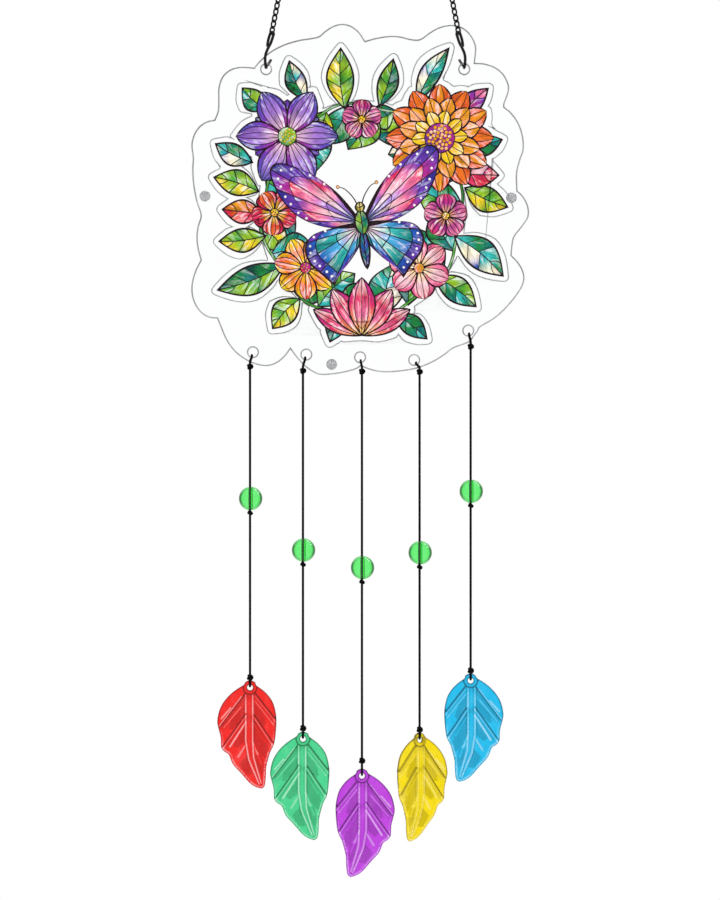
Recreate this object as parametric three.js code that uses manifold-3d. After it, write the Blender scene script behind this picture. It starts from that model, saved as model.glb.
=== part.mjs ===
/**
 * Suncatcher wind chime: a clear scalloped acrylic panel with a printed plate on its front. Two wire
 * hooks and two chains hold it to a ring, and five cords below it each carry a bead and a leaf.
 *
 * Millimetres, +Z up, +X to the right, and the printed front faces -Y. The origin is the point inside
 * the top of the ring that the chime hangs from.
 */
import * as THREE from 'three';
import { mergeVertices } from 'three/addons/utils/BufferGeometryUtils.js';
import Module from 'manifold-3d';

const wasm = await Module();
wasm.setup();

// Gap left between two pieces that touch, and the thinner one where they are glued.
const CLEARANCE = 0.3;
const GLUE_GAP = 0.05;

// Clear panel, its holes and the printed plate glued to its front.
const PANEL_WIDTH = 200;
const PANEL_THICKNESS = 3;
const PANEL_HOLE = 5.5;
const PLATE_THICKNESS = 1.5;
const PLATE_MARGIN = 3;

// Clear bumper pads on the back, which keep the panel off a window.
const PAD_DIAMETER = 6.4;
const PAD_HEIGHT = 1.5;

// Ring at the top, and how far from its lowest point each chain hangs on it.
const RING_BORE = 16;
const RING_WIRE = 1.2;
const CHAIN_LANDING = 3;

// Chains: the height from a hook's eye to the ring, and one link.
const CHAIN_RISE = 265;
const LINK_PITCH = 3.74;
const LINK_WIDTH = 3.4;
const LINK_WIRE = 0.7;
const LINK_WELD = 0.12;

// Wire hooks: the height of the eye over the bend in the panel's hole, and its offset inwards.
const HOOK_WIRE = 1.2;
const HOOK_HEIGHT = 20.6;
const HOOK_LEAN = 3.5;

// Cords, their knots and the beads.
const CORD_DIAMETER = 1.3;
const KNOT_WIDTH = 4;
const KNOT_HEIGHT = 3.3;
const STOP_KNOT_WIDTH = 3.7;
const STOP_KNOT_HEIGHT = 2.6;
const KNOT_SHOULDER = 0.42; // where the two strands enter a knot, as a share of its height
const LOOP_LEAN = 0.35; // how much of a strand's lean its loop takes inside the hole
const BEAD_DIAMETER = 14;
const BEAD_PLAY = 0.55;

// Moulded leaves.
const LEAF_LENGTH = 64.3;
const LEAF_THICKNESS = 1.6;
const LEAF_HOLE = 3.3;
const BOSS_DIAMETER = 8;
const BOSS_RISE = 0.5;
const RIB_RISE = 0.8;
const VEIN_RISE = 0.6;
const VEIN_SLOPE = 5.5;

// Sides of the round solids.
const WIRE_SIDES = 6;
const CORD_SIDES = 8;
const CORD_STEPS = 10;
const HOLE_SIDES = 12;
const BEAD_SIDES = 12;
const BEAD_RINGS = 6;
const EDGE_SAMPLES = 1.1; // samples of the panel's edge to each of its points

const cordRadius = CORD_DIAMETER / 2;
const panelBack = PANEL_THICKNESS / 2;

/** Turns hundredths of the panel's width, from the middle of its two hanging holes, into millimetres. */
const onPanel = ([x, z]) => new THREE.Vector2((x * PANEL_WIDTH) / 100, (z * PANEL_WIDTH) / 100);

/** Turns hundredths of the leaf's length, from its hole, into millimetres. */
const onLeaf = ([x, z]) => new THREE.Vector2((x * LEAF_LENGTH) / 100, (z * LEAF_LENGTH) / 100);

// The panel's edge, clockwise from the valley left of its top. Each run is one smooth curve, and the
// runs meet in the sharp valleys between the scallops.
const SCALLOPS = [
	[[-32.9, 0.5], [-30.5, 3.2], [-26.7, 6.1], [-21.6, 8.2], [-16.9, 9.1], [-13.9, 9.7], [-11.9, 11.3],
		[-9.5, 12.8], [-7.1, 13.4], [-4.5, 13], [-2, 11.3], [0, 8.4]],
	[[0, 8.4], [3.8, 9.4], [8.2, 9.9], [12.1, 9.4], [15.3, 8.6], [18.3, 10.4], [21.5, 12.3], [25.1, 13.1],
		[28.3, 12.6], [31, 10.6], [32.7, 7.4], [32.8, 4.8], [32.5, 1.9]],
	[[32.5, 1.9], [36.3, 1.5], [39.9, -0.3], [42.1, -3.4], [42.6, -6.5], [41.4, -9.6], [41.2, -11.1]],
	[[41.2, -11.1], [43.7, -13.3], [45.8, -16.7], [46.9, -21], [46.7, -25.1], [45.1, -29.2], [45.1, -35.9]],
	[[45.1, -35.9], [47.1, -38], [48.5, -41.7], [47.7, -45.2], [44.7, -48.6], [43.8, -51.4], [43.3, -54.8],
		[45.2, -56.9], [46.7, -59.5], [47.1, -62.4], [45.8, -65.6], [42.2, -70.2], [38.4, -73.7], [34.1, -76.3]],
	[[34.1, -76.3], [32.9, -78.2], [30.6, -80.9]],
	[[30.6, -80.9], [26.1, -82.6]],
	[[26.1, -82.6], [23, -84.9], [19.2, -87.1], [13.9, -88.9], [6.8, -89.7], [2.3, -89.2], [-1.3, -87.9]],
	[[-1.3, -87.9], [-4.5, -89.4], [-11.9, -90.5], [-15.7, -89.5], [-19.3, -86.5], [-22.1, -82.9]],
	[[-22.1, -82.9], [-24.3, -85.6], [-27.5, -87.6], [-31.4, -87.6], [-36.1, -85.6], [-40, -82],
		[-42.2, -77.7], [-43.8, -73.8]],
	[[-43.8, -73.8], [-47.1, -73.2], [-49.9, -70.5], [-51.4, -66.2], [-50.9, -61.2], [-48.7, -56.4]],
	[[-48.7, -56.4], [-49.8, -52], [-49.8, -47.6], [-48.7, -43.2]],
	[[-48.7, -43.2], [-50.3, -37.8], [-51.2, -31.3], [-51, -26.9], [-51.4, -21.8], [-50, -18], [-47.5, -15.7],
		[-44.6, -14.9]],
	[[-44.6, -14.9], [-43.4, -11.2], [-43.6, -6.5], [-42.3, -2.2], [-39.4, 0.2], [-36.1, 0.7], [-32.9, 0.5]],
];

// Hanging holes at the top, and the bumper pads.
const HOOK_HOLES = [[-29.3, 0], [29.3, 0]];
const PADS = { left: [-47.4, -37.5], right: [43.3, -38], bottom: [-9.9, -87.3] };

// The printed wreath that the plate's edge follows. Its closed middle comes first, and every place in
// it is given in shares of the middle's half width and half height. Leaves, buds and petals are base,
// tip, width and bend, and the two round flowers are middle, radius, petal count and notch depth.
const WREATH_MIDDLE = { middle: [-1, -42], width: 31, height: 33, sides: 28 };
const WREATH_LEAVES = [
	[[-0.161, 0.939], [-0.2, 1.467], 8.5, 0.8], [[0.161, 0.97], [0.303, 1.37], 6.5, -0.6],
	[[0.516, 1.03], [0.839, 1.467], 6.5, 1], [[0.968, 0.848], [1.213, 1.103], 6.5, 0.8],
	[[1.097, 0.545], [1.348, 0.642], 6.5, 0.5], [[1.032, 0.212], [1.4, 0.03], 8, -0.6],
	[[0.903, -0.242], [1.355, -0.591], 9.5, 1], [[0.71, -0.606], [1.097, -0.864], 8, 0.8],
	[[0.323, -0.97], [0.629, -1.152], 6.5, 0.6], [[-0.226, -0.848], [-0.306, -1.182], 7, 0.6],
	[[-0.613, -0.818], [-0.855, -1.061], 8, -0.8], [[-0.774, -0.5], [-1.387, -0.712], 9, 1],
	[[-0.968, -0.242], [-1.371, -0.273], 7.5, 0.6], [[-1.032, 0.182], [-1.419, 0.303], 8, -0.6],
	[[-1.097, 0.455], [-1.403, 0.606], 7, 0.6], [[-0.935, 0.939], [-1.145, 1.106], 7, 0.8],
	[[-0.548, 1.03], [-0.694, 1.352], 6.5, 0.8],
];
const WREATH_BUDS = [[[0.968, 0.333], [1.316, 0.318], 8, 0], [[-1, -0.03], [-1.339, 0.015], 7.5, 0]];
const LILY_PETALS = [[[0, -1.121], [-0.468, -0.879], 6, 0.8], [[0, -1.121], [0.468, -0.879], 6, -0.8]];
const WREATH_FLOWERS = [[[0.742, 0.652], 16.2, 12, 0.1], [[-0.71, 0.667], 15.5, 6, 0.3]];

// The five strands from left to right: the panel's hole, how far the cord hangs beside it, the drops
// from knot to bead and from bead to leaf, slack at the leaf, the leaf's turn about its cord, its colour.
const STRANDS = [
	{ hole: [-33.2, -83.7], lean: -1.7, bead: 78, leaf: 111.8, slack: 0, turn: 180, name: 'red', colour: 0xe83a36 },
	{ hole: [-17.4, -84.4], lean: -2, bead: 106, leaf: 111.7, slack: 0.3, turn: 180, name: 'green', colour: 0x4fc98a },
	{ hole: [-1.5, -85.2], lean: 1.1, bead: 116, leaf: 123.2, slack: 3, turn: 0, name: 'purple', colour: 0xc04fd6 },
	{ hole: [14.5, -86], lean: 3.2, bead: 107, leaf: 110.6, slack: 0, turn: 31, name: 'yellow', colour: 0xf2dc2e },
	{ hole: [30.5, -77.3], lean: 1.4, bead: 85.6, leaf: 112, slack: 0, turn: 0, name: 'blue', colour: 0x2fb4ea },
];

// The leaf's edge in hundredths of its length, clockwise from the top of its boss.
const LEAF_EDGE = [
	[0, 6.8], [4.1, 5.2], [6.2, 2.2], [11.6, -1.1], [18.1, -6.2], [24, -12.9], [28.1, -20.6], [30.2, -31],
	[28.9, -38.4], [27, -46], [26.5, -55.1], [23.4, -59.2], [19.5, -62], [15.9, -70.5], [8.6, -78.6],
	[0.5, -87.8], [-5, -91.5], [-10.5, -93.2], [-13.5, -90.5], [-14.6, -81.4], [-15, -73], [-18.4, -60],
	[-22.5, -50.6], [-24.3, -31.6], [-23.3, -21.3], [-20.8, -13.2], [-16.3, -6.7], [-11.3, -1.9], [-6, 1.9],
	[-4.6, 5],
];
const LEAF_RIB = [[-2.5, -5], [3.9, -5], [3.9, -49], [1.2, -66], [-8.6, -89], [-10.2, -88], [-3.2, -64], [-2.5, -49]];
const LEAF_VEINS = [
	[[4, -5], [30, -35]], [[3.8, -23.5], [27, -54]], [[4.8, -52], [13, -64]],
	[[-4.3, -4.8], [-25, -31]], [[-3.5, -23.5], [-23, -53]],
];

/** Makes a manifold solid of a closed geometry. */
function solid(geometry) {
	const bare = geometry.index ? geometry.clone() : geometry;
	bare.deleteAttribute('normal');
	bare.deleteAttribute('uv');
	const merged = mergeVertices(bare, 1e-4);
	const vertProperties = new Float32Array(merged.attributes.position.array);
	const triVerts = new Uint32Array(merged.index.array);
	return new wasm.Manifold(new wasm.Mesh({ numProp: 3, vertProperties, triVerts }));
}

/** Makes a geometry of a manifold solid. */
function geometryOf(body) {
	const { vertProperties, triVerts } = body.getMesh();
	const geometry = new THREE.BufferGeometry();
	geometry.setAttribute('position', new THREE.BufferAttribute(new Float32Array(vertProperties), 3));
	geometry.setIndex(new THREE.BufferAttribute(new Uint32Array(triVerts), 1));
	return geometry;
}

/** Joins geometries that touch or overlap into one. */
function join(geometries) {
	return geometryOf(geometries.map(solid).reduce((whole, next) => whole.add(next)));
}

/** Extrudes an outline in X and Z from front (lower Y) to back; one with holes runs clockwise. */
function slab(outline, front, back, holes = []) {
	const shape = new THREE.Shape(outline);
	shape.holes = holes.map(({ x, y, radius, sides }) => new THREE.Path(
		Array.from({ length: sides }, (_, i) => {
			const angle = (2 * Math.PI * i) / sides;
			return new THREE.Vector2(x + radius * Math.cos(angle), y + radius * Math.sin(angle));
		}),
	));
	const geometry = new THREE.ExtrudeGeometry(shape, { depth: back - front, bevelEnabled: false });
	return geometry.rotateX(Math.PI / 2).translate(0, back, 0);
}

/** A route through points, one ring of a tube at each, for a wire or a cord. */
class Route extends THREE.Curve {
	constructor(points) {
		super();
		this.points = points.map((p) => new THREE.Vector3(...p));
	}

	getPoint(t, target = new THREE.Vector3()) {
		const at = THREE.MathUtils.clamp(t, 0, 1) * (this.points.length - 1);
		const start = Math.min(Math.floor(at + 1e-9), this.points.length - 2);
		return target.lerpVectors(this.points[start], this.points[start + 1], at - start);
	}

	getPointAt(u, target) {
		return this.getPoint(u, target);
	}

	getTangentAt(u, target = new THREE.Vector3()) {
		const half = 0.5 / (this.points.length - 1);
		const before = this.getPoint(u - half);
		return this.getPoint(u + half, target).sub(before).normalize();
	}
}

/** A closed tube with a ring of the given sides at every point of a route. */
function tube(points, radius, sides) {
	const corners = Array.from({ length: sides }, (_, i) => {
		const angle = (2 * Math.PI * i) / sides;
		return new THREE.Vector2(radius * Math.cos(angle), radius * Math.sin(angle));
	});
	return new THREE.ExtrudeGeometry(new THREE.Shape(corners), {
		steps: points.length - 1,
		bevelEnabled: false,
		extrudePath: new Route(points),
	});
}

/** A solid of revolution about Z whose profile of [radius, height] closes on itself or on the axis. */
function turned(profile, sides) {
	const points = profile.map(([radius, height]) => new THREE.Vector2(radius, height));
	const onAxis = profile[0][0] === 0;
	if (!onAxis) points.push(points[0].clone());
	return new THREE.LatheGeometry(points, sides).rotateX(Math.PI / 2);
}

/** Grows an anticlockwise or clockwise outline by a margin, with rounded points. */
function grow(outline, margin) {
	const turn = THREE.ShapeUtils.isClockWise(outline) ? 1 : -1;
	return outline.flatMap((point, i) => {
		const before = outline.at(i - 1);
		const after = outline[(i + 1) % outline.length];
		const into = point.clone().sub(before).normalize();
		const away = after.clone().sub(point).normalize();
		const bend = -turn * into.cross(away);
		const normals = [into, away].map((d) => new THREE.Vector2(-d.y * turn, d.x * turn));
		const middle = normals[0].clone().add(normals[1]).normalize();
		const rounded = bend > 0.7 ? [normals[0], middle, normals[1]] : [middle];
		return rounded.map((n) => point.clone().addScaledVector(n, margin));
	});
}

/** Turns a place in shares of the wreath's middle into hundredths of the panel's width. */
const inWreath = ([x, z]) => [
	WREATH_MIDDLE.middle[0] + x * WREATH_MIDDLE.width,
	WREATH_MIDDLE.middle[1] + z * WREATH_MIDDLE.height,
];

/** Outline of a leaf or petal from base to tip, with its widest place in the middle. */
function leafOutline([base, tip, width, bend]) {
	const [from, to] = [onPanel(inWreath(base)), onPanel(inWreath(tip))];
	const along = to.clone().sub(from);
	const across = new THREE.Vector2(-along.y, along.x).normalize();
	const side = (sign) => [0.25, 0.5, 0.75].map((t) => {
		const arch = Math.sin(Math.PI * t);
		const reach = (sign * width * arch * PANEL_WIDTH) / 200 + (bend * arch * PANEL_WIDTH) / 100;
		return from.clone().addScaledVector(along, t).addScaledVector(across, reach);
	});
	return [from, ...side(-1), to, ...side(1).reverse()];
}

/** Outline of a round flower with a notch between each two petals. */
function flowerOutline([middle, radius, petals, notch]) {
	const steps = petals * 4;
	const [x, z] = inWreath(middle);
	return Array.from({ length: steps }, (_, i) => {
		const angle = (2 * Math.PI * i) / steps;
		const reach = radius * (1 - notch * Math.sin((petals * angle) / 2) ** 2);
		return onPanel([x + reach * Math.cos(angle), z + reach * Math.sin(angle)]);
	});
}

/** Outline of the closed middle of the wreath. */
function middleOutline({ middle, width, height, sides }) {
	return Array.from({ length: sides }, (_, i) => {
		const angle = (2 * Math.PI * i) / sides;
		return onPanel([middle[0] + width * Math.cos(angle), middle[1] + height * Math.sin(angle)]);
	});
}

/** The panel's whole edge, sampled along its smooth runs. */
function panelEdge() {
	return SCALLOPS.flatMap((run) => {
		const points = run.map(onPanel);
		const samples = points.length > 2 ? Math.round(points.length * EDGE_SAMPLES) : 1;
		return new THREE.SplineCurve(points).getPoints(samples).slice(0, -1);
	});
}

const edge = panelEdge();

/** Height of the panel's lower edge over a stretch from left to right. */
function lowerEdge(left, right) {
	const samples = 8;
	const heights = Array.from({ length: samples + 1 }, (_, i) => {
		const x = THREE.MathUtils.lerp(left, right, i / samples);
		const crossings = edge.flatMap((a, n) => {
			const b = edge[(n + 1) % edge.length];
			return (a.x - x) * (b.x - x) < 0 ? [a.y + ((x - a.x) / (b.x - a.x)) * (b.y - a.y)] : [];
		});
		return Math.min(...crossings);
	});
	return Math.min(...heights);
}

/** Places a named mesh with its own material. */
function piece(name, geometry, colour, { roughness = 0.5, metalness = 0, opacity = 1 } = {}) {
	const material = new THREE.MeshStandardMaterial({
		color: colour, roughness, metalness, opacity, transparent: opacity < 1,
	});
	const mesh = new THREE.Mesh(geometry, material);
	mesh.name = name;
	return mesh;
}

const ACRYLIC = { roughness: 0.05, opacity: 0.3 };
const TINTED = { roughness: 0.12, opacity: 0.75 };
const WIRE = { roughness: 0.35, metalness: 0.9 };
const BLACK = 0x161618;

/** The panel, plate and pads, from the middle of the two hanging holes. */
function panelGroup() {
	const group = new THREE.Group();
	const holes = [...HOOK_HOLES, ...STRANDS.map((strand) => strand.hole)].map((hole) => {
		const { x, y } = onPanel(hole);
		return { x, y, radius: PANEL_HOLE / 2, sides: HOLE_SIDES };
	});
	group.add(piece('clear_panel', slab(edge, -panelBack, panelBack, holes), 0xf4f7f8, ACRYLIC));

	const outlines = [
		middleOutline(WREATH_MIDDLE),
		...[...WREATH_LEAVES, ...WREATH_BUDS, ...LILY_PETALS].map((leaf) => grow(leafOutline(leaf), PLATE_MARGIN)),
		...WREATH_FLOWERS.map((flower) => grow(flowerOutline(flower), PLATE_MARGIN)),
	];
	const plateBack = -panelBack - GLUE_GAP;
	const layers = outlines.map((outline) => slab(outline, plateBack - PLATE_THICKNESS, plateBack));
	group.add(piece('printed_plate', join(layers), 0xd9c7e0, ACRYLIC));

	for (const [side, place] of Object.entries(PADS)) {
		const { x, y } = onPanel(place);
		const radius = PAD_DIAMETER / 2;
		const dome = [[0, 0], [radius, 0], [radius, PAD_HEIGHT * 0.5], [radius * 0.75, PAD_HEIGHT * 0.9], [0, PAD_HEIGHT]];
		const pad = piece(`bumper_pad_${side}`, turned(dome, 10), 0xb9bcc0, TINTED);
		pad.rotation.x = -Math.PI / 2;
		pad.position.set(x, panelBack + GLUE_GAP, y);
		group.add(pad);
	}
	return group;
}

/** Half the width of a hook's eye across X or Y, for an eye turned 45 degrees. */
const eyeAcross = ((HOOK_WIRE + LINK_WIRE) / 2 + CLEARANCE) * Math.SQRT1_2;

/** How far the strand in front of the panel, and the eye, stand from the panel's middle. */
const hookBend = panelBack + CLEARANCE + HOOK_WIRE / 2;
const eyeDepth = hookBend + eyeAcross;

/**
 * Route of a hook's wire, from its tip behind the panel to the end of its eye; inwards is +X. It is a
 * free bend whose points are shares of the hook's height.
 */
function hookRoute() {
	const rise = (share) => HOOK_HEIGHT * share;
	const body = (share, side) => {
		const lean = HOOK_LEAN * Math.min(1, (share - 0.35) / 0.6);
		return [lean + side * eyeAcross, -eyeDepth - side * eyeAcross, rise(share)];
	};
	const bend = [60, 30, 0, -30, -60].map((degrees) => {
		const angle = THREE.MathUtils.degToRad(degrees);
		return [rise(0.017) * Math.sin(angle), hookBend * Math.sin(angle), hookBend * (1 - Math.cos(angle))];
	});
	const eye = [20, 55, 90, 125, 160].map((degrees) => {
		const angle = THREE.MathUtils.degToRad(degrees);
		const side = Math.cos(angle) * eyeAcross;
		return [HOOK_LEAN + side, -eyeDepth - side, rise(1) - eyeAcross * Math.SQRT2 * (1 - Math.sin(angle))];
	});
	return [
		[rise(0.14), hookBend + rise(0.025), hookBend + rise(0.11)],
		[rise(0.07), hookBend + rise(0.01), hookBend],
		...bend,
		[-rise(0.02), -hookBend, hookBend],
		[-rise(0.024), -hookBend, rise(0.27)],
		[0, -hookBend - rise(0.005), rise(0.4)],
		body(0.55, 0.2),
		body(0.68, 0.8),
		body(0.85, 1),
		...eye,
		body(0.82, -1),
		body(0.7, -0.8),
	];
}

/** One chain link round the origin, long in Z and flat in X, with its ridges inwards. */
function linkGeometry(length) {
	const half = (LINK_WIDTH - LINK_WIRE) / 2;
	const [ridge, flat] = [LINK_WIRE * 0.57, LINK_WIRE * 0.43];
	const corner = (reach) => (half + reach) * Math.SQRT2;
	const profile = [[corner(-ridge), 0], [corner(flat), -LINK_WIRE * 0.52], [corner(flat), LINK_WIRE * 0.52]];
	const square = turned(profile, 4).rotateZ(Math.PI / 4).rotateX(Math.PI / 2);
	const stretch = length / 2 - half;
	const place = square.attributes.position;
	for (let i = 0; i < place.count; i += 1) place.setZ(i, place.getZ(i) + Math.sign(place.getZ(i)) * stretch);
	return square;
}

/** A chain leg along +Z from the eye's wire at the origin to the ring's wire. */
function chainGeometry(length, twist) {
	const ridge = LINK_WIRE * 0.57;
	const start = -(HOOK_WIRE / 2 + CLEARANCE + ridge);
	const end = length + RING_WIRE / 2 + CLEARANCE + ridge;
	const seat = 2 * ridge - LINK_WELD;
	const count = Math.round((end - start - seat) / LINK_PITCH);
	const pitch = (end - start - seat) / count;
	const links = Array.from({ length: count }, (_, i) => {
		const angle = (i % 2 === 0 ? 1 : -1) * twist;
		return linkGeometry(pitch + seat).rotateZ(angle).translate(0, 0, start + i * pitch + (pitch + seat) / 2);
	});
	return join(links);
}

/** The moulded leaf from the middle of its hole, with its veins to the front. */
function leafGeometry() {
	const outline = LEAF_EDGE.map(onLeaf);
	const half = LEAF_THICKNESS / 2;
	const blade = solid(slab(outline, -half, half));
	const boss = solid(turned([[0, -half - BOSS_RISE], [BOSS_DIAMETER / 2, -half - BOSS_RISE],
		[BOSS_DIAMETER / 2, half + BOSS_RISE], [0, half + BOSS_RISE]], 10).rotateX(Math.PI / 2));
	const rib = solid(slab(LEAF_RIB.map(onLeaf), -half - RIB_RISE, 0));
	const veins = LEAF_VEINS.map((ends) => {
		const [from, to] = ends.map(onLeaf);
		const run = to.clone().sub(from);
		const down = Math.sign(run.x) * VEIN_SLOPE;
		const wedge = new THREE.Shape([new THREE.Vector2(0, 0), new THREE.Vector2(0, -half - VEIN_RISE),
			new THREE.Vector2(down, -half), new THREE.Vector2(down, 0)]);
		const prism = new THREE.ExtrudeGeometry(wedge, { depth: run.length(), bevelEnabled: false });
		const frame = new THREE.Matrix4().makeBasis(
			new THREE.Vector3(run.y, 0, -run.x).normalize(),
			new THREE.Vector3(0, 1, 0),
			new THREE.Vector3(run.x, 0, run.y).normalize(),
		);
		return solid(prism.applyMatrix4(frame).translate(from.x, 0, from.y));
	});
	const within = solid(slab(outline, -half - RIB_RISE, half));
	const relief = veins.reduce((whole, vein) => whole.add(vein), rib).intersect(within);
	const bore = solid(turned([[0, -PANEL_THICKNESS], [LEAF_HOLE / 2, -PANEL_THICKNESS],
		[LEAF_HOLE / 2, PANEL_THICKNESS], [0, PANEL_THICKNESS]], 10).rotateX(Math.PI / 2));
	return geometryOf(blade.add(relief).add(boss).subtract(bore));
}

/**
 * A cord's loop through a hole in a plate of the given half thickness, rounding the hole's rim on both
 * faces: way is 1 if the loop hangs down from the rim and -1 if it stands up.
 */
function loopGeometry(half, rimX, rimZ, endX, endZ, way) {
	const reach = cordRadius + CLEARANCE;
	const bend = [0, 45, 90].map((degrees) => {
		const angle = THREE.MathUtils.degToRad(degrees);
		return [rimX, half + reach * Math.cos(angle), rimZ + way * reach * Math.sin(angle)];
	});
	const back = [[endX, half + reach, endZ], ...bend];
	const front = back.map(([x, y, z]) => [x, -y, z]).reverse();
	return tube([...back, ...front], cordRadius, CORD_SIDES);
}

/** A round knot, as deep as the two strands that it closes. */
function knotGeometry(depth) {
	return new THREE.SphereGeometry(0.5, 8, 5).rotateX(Math.PI / 2).scale(KNOT_WIDTH, depth, KNOT_HEIGHT);
}

/** One strand of cord with its knots, bead and leaf, from the middle of the two hanging holes. */
function strandGroup(strand, number) {
	const group = new THREE.Group();
	const hole = onPanel(strand.hole);
	const x = hole.x + strand.lean;
	const add = (name, geometry, colour, looks, place = [0, 0, 0]) => {
		const mesh = piece(name, geometry, colour, looks);
		mesh.position.set(...place);
		group.add(mesh);
		return mesh;
	};
	const matt = { roughness: 0.8 };

	const offset = panelBack + CLEARANCE + cordRadius;
	const loopX = hole.x + strand.lean * LOOP_LEAN;
	const play = PANEL_HOLE / 2 - cordRadius - CLEARANCE;
	const rimZ = hole.y - Math.sqrt(play ** 2 - (loopX - hole.x) ** 2) - cordRadius - CLEARANCE;
	const under = lowerEdge(x - KNOT_WIDTH / 2, x + KNOT_WIDTH / 2);
	const topKnot = under - CLEARANCE - KNOT_HEIGHT / 2;
	const depth = 2 * offset + cordRadius;
	const shoulder = KNOT_SHOULDER * KNOT_HEIGHT + CLEARANCE;
	add(`cord_${number}_loop`, loopGeometry(panelBack, loopX, rimZ, x, topKnot + shoulder, 1), BLACK, matt);
	add(`top_knot_${number}`, knotGeometry(depth), BLACK, matt, [x, 0, topKnot]);

	const beadZ = topKnot - strand.bead;
	const boreRadius = cordRadius + BEAD_PLAY;
	const polar = Math.asin(boreRadius / (BEAD_DIAMETER / 2));
	const arc = Array.from({ length: BEAD_RINGS + 1 }, (_, i) => {
		const angle = THREE.MathUtils.lerp(polar, Math.PI - polar, i / BEAD_RINGS);
		return [(BEAD_DIAMETER / 2) * Math.sin(angle), (-BEAD_DIAMETER / 2) * Math.cos(angle)];
	});
	add(`bead_${number}`, turned(arc, BEAD_SIDES), 0x5fe873, TINTED, [x, 0, beadZ]);
	const stop = [[cordRadius + CLEARANCE, -0.5], [STOP_KNOT_WIDTH / 2, -0.2], [STOP_KNOT_WIDTH / 2, 0.2],
		[cordRadius + CLEARANCE, 0.5]].map(([radius, share]) => [radius, share * STOP_KNOT_HEIGHT]);
	const beadFoot = beadZ - (BEAD_DIAMETER / 2) * Math.cos(polar);
	add(`bead_knot_${number}`, turned(stop, 8), BLACK, matt, [x, 0, beadFoot - CLEARANCE - STOP_KNOT_HEIGHT / 2]);

	const leafZ = beadZ - strand.leaf;
	const leafKnot = leafZ + BOSS_DIAMETER / 2 + CLEARANCE + KNOT_HEIGHT / 2 + strand.slack;
	const top = topKnot - KNOT_HEIGHT / 2 - CLEARANCE;
	const bottom = leafKnot + KNOT_HEIGHT / 2 + CLEARANCE;
	const route = Array.from({ length: CORD_STEPS + 1 }, (_, i) => [0, 0, ((bottom - top) * i) / CORD_STEPS]);
	add(`cord_${number}`, tube(route, cordRadius, CORD_SIDES), BLACK, matt, [x, 0, top]);

	const leafHalf = LEAF_THICKNESS / 2 + BOSS_RISE;
	const leafOffset = leafHalf + CLEARANCE + cordRadius;
	const hanging = new THREE.Group();
	hanging.position.set(x, 0, leafZ);
	hanging.rotation.z = THREE.MathUtils.degToRad(strand.turn);
	const knotFoot = leafKnot - leafZ - shoulder;
	hanging.add(
		piece(`cord_${number}_leaf_loop`, loopGeometry(leafHalf, 0, LEAF_HOLE / 2, 0, knotFoot, -1), BLACK, matt),
		piece(`leaf_${number}_${strand.name}`, leafGeometry(), strand.colour, TINTED),
	);
	const knot = piece(`leaf_knot_${number}`, knotGeometry(2 * leafOffset + cordRadius), BLACK, matt);
	knot.position.z = leafKnot - leafZ;
	hanging.add(knot);
	group.add(hanging);
	return group;
}

const group = new THREE.Group();

// The ring stands in the X-Z plane below the point that it hangs from.
const ringRadius = (RING_BORE + RING_WIRE) / 2;
const ringSection = Array.from({ length: WIRE_SIDES }, (_, i) => {
	const angle = (2 * Math.PI * i) / WIRE_SIDES;
	return [ringRadius + (RING_WIRE / 2) * Math.cos(angle), (RING_WIRE / 2) * Math.sin(angle)];
});
const ring = piece('hanging_ring', turned(ringSection, 20).rotateX(Math.PI / 2), BLACK, WIRE);
ring.position.z = -RING_BORE / 2;
group.add(ring);

// The chains lean in from the hooks' eyes to the ring, and the panel hangs in the hooks' bends.
const landing = -RING_BORE / 2 - Math.sqrt(ringRadius ** 2 - CHAIN_LANDING ** 2);
const eyeZ = landing - CHAIN_RISE;
const bendZ = eyeZ - HOOK_HEIGHT;
const innerBend = panelBack + CLEARANCE;
const seatRise = innerBend - Math.sqrt(innerBend ** 2 - panelBack ** 2);
const holeZ = bendZ + HOOK_WIRE / 2 + seatRise + CLEARANCE * 1.5 - PANEL_HOLE / 2;
for (const [side, inwards] of [['left', 1], ['right', -1]]) {
	const holeX = -inwards * Math.abs(onPanel(HOOK_HOLES[0]).x);
	const wire = tube(hookRoute().map(([x, y, z]) => [x * inwards, y, z]), HOOK_WIRE / 2, WIRE_SIDES);
	const hook = piece(`hook_${side}`, wire, BLACK, WIRE);
	hook.position.set(holeX, 0, bendZ);
	const eye = new THREE.Vector3(holeX + inwards * HOOK_LEAN, -eyeDepth, eyeZ);
	const leg = new THREE.Vector3(-inwards * CHAIN_LANDING, 0, landing).sub(eye);
	const chain = piece(`chain_${side}`, chainGeometry(leg.length(), inwards * Math.PI / 4), BLACK, WIRE);
	chain.position.copy(eye);
	chain.quaternion.setFromUnitVectors(new THREE.Vector3(0, 0, 1), leg.normalize());
	group.add(hook, chain);
}

const below = new THREE.Group();
below.position.z = holeZ;
below.add(panelGroup(), ...STRANDS.map((strand, i) => strandGroup(strand, i + 1)));
group.add(below);

export default group;
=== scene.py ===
"""Suncatcher wind chime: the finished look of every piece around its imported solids.

A clear scalloped panel with a see-through print hangs on two black chains, and five cords below it
each carry a green bead and a coloured leaf. Lengths here are metres, and the printed front faces -Y.
"""

import logging
import math
import random
from dataclasses import dataclass, field
from enum import Enum
from typing import Callable, Iterable, Sequence

import bmesh
import bpy
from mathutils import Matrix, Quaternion, Vector
from mathutils.geometry import delaunay_2d_cdt


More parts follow.
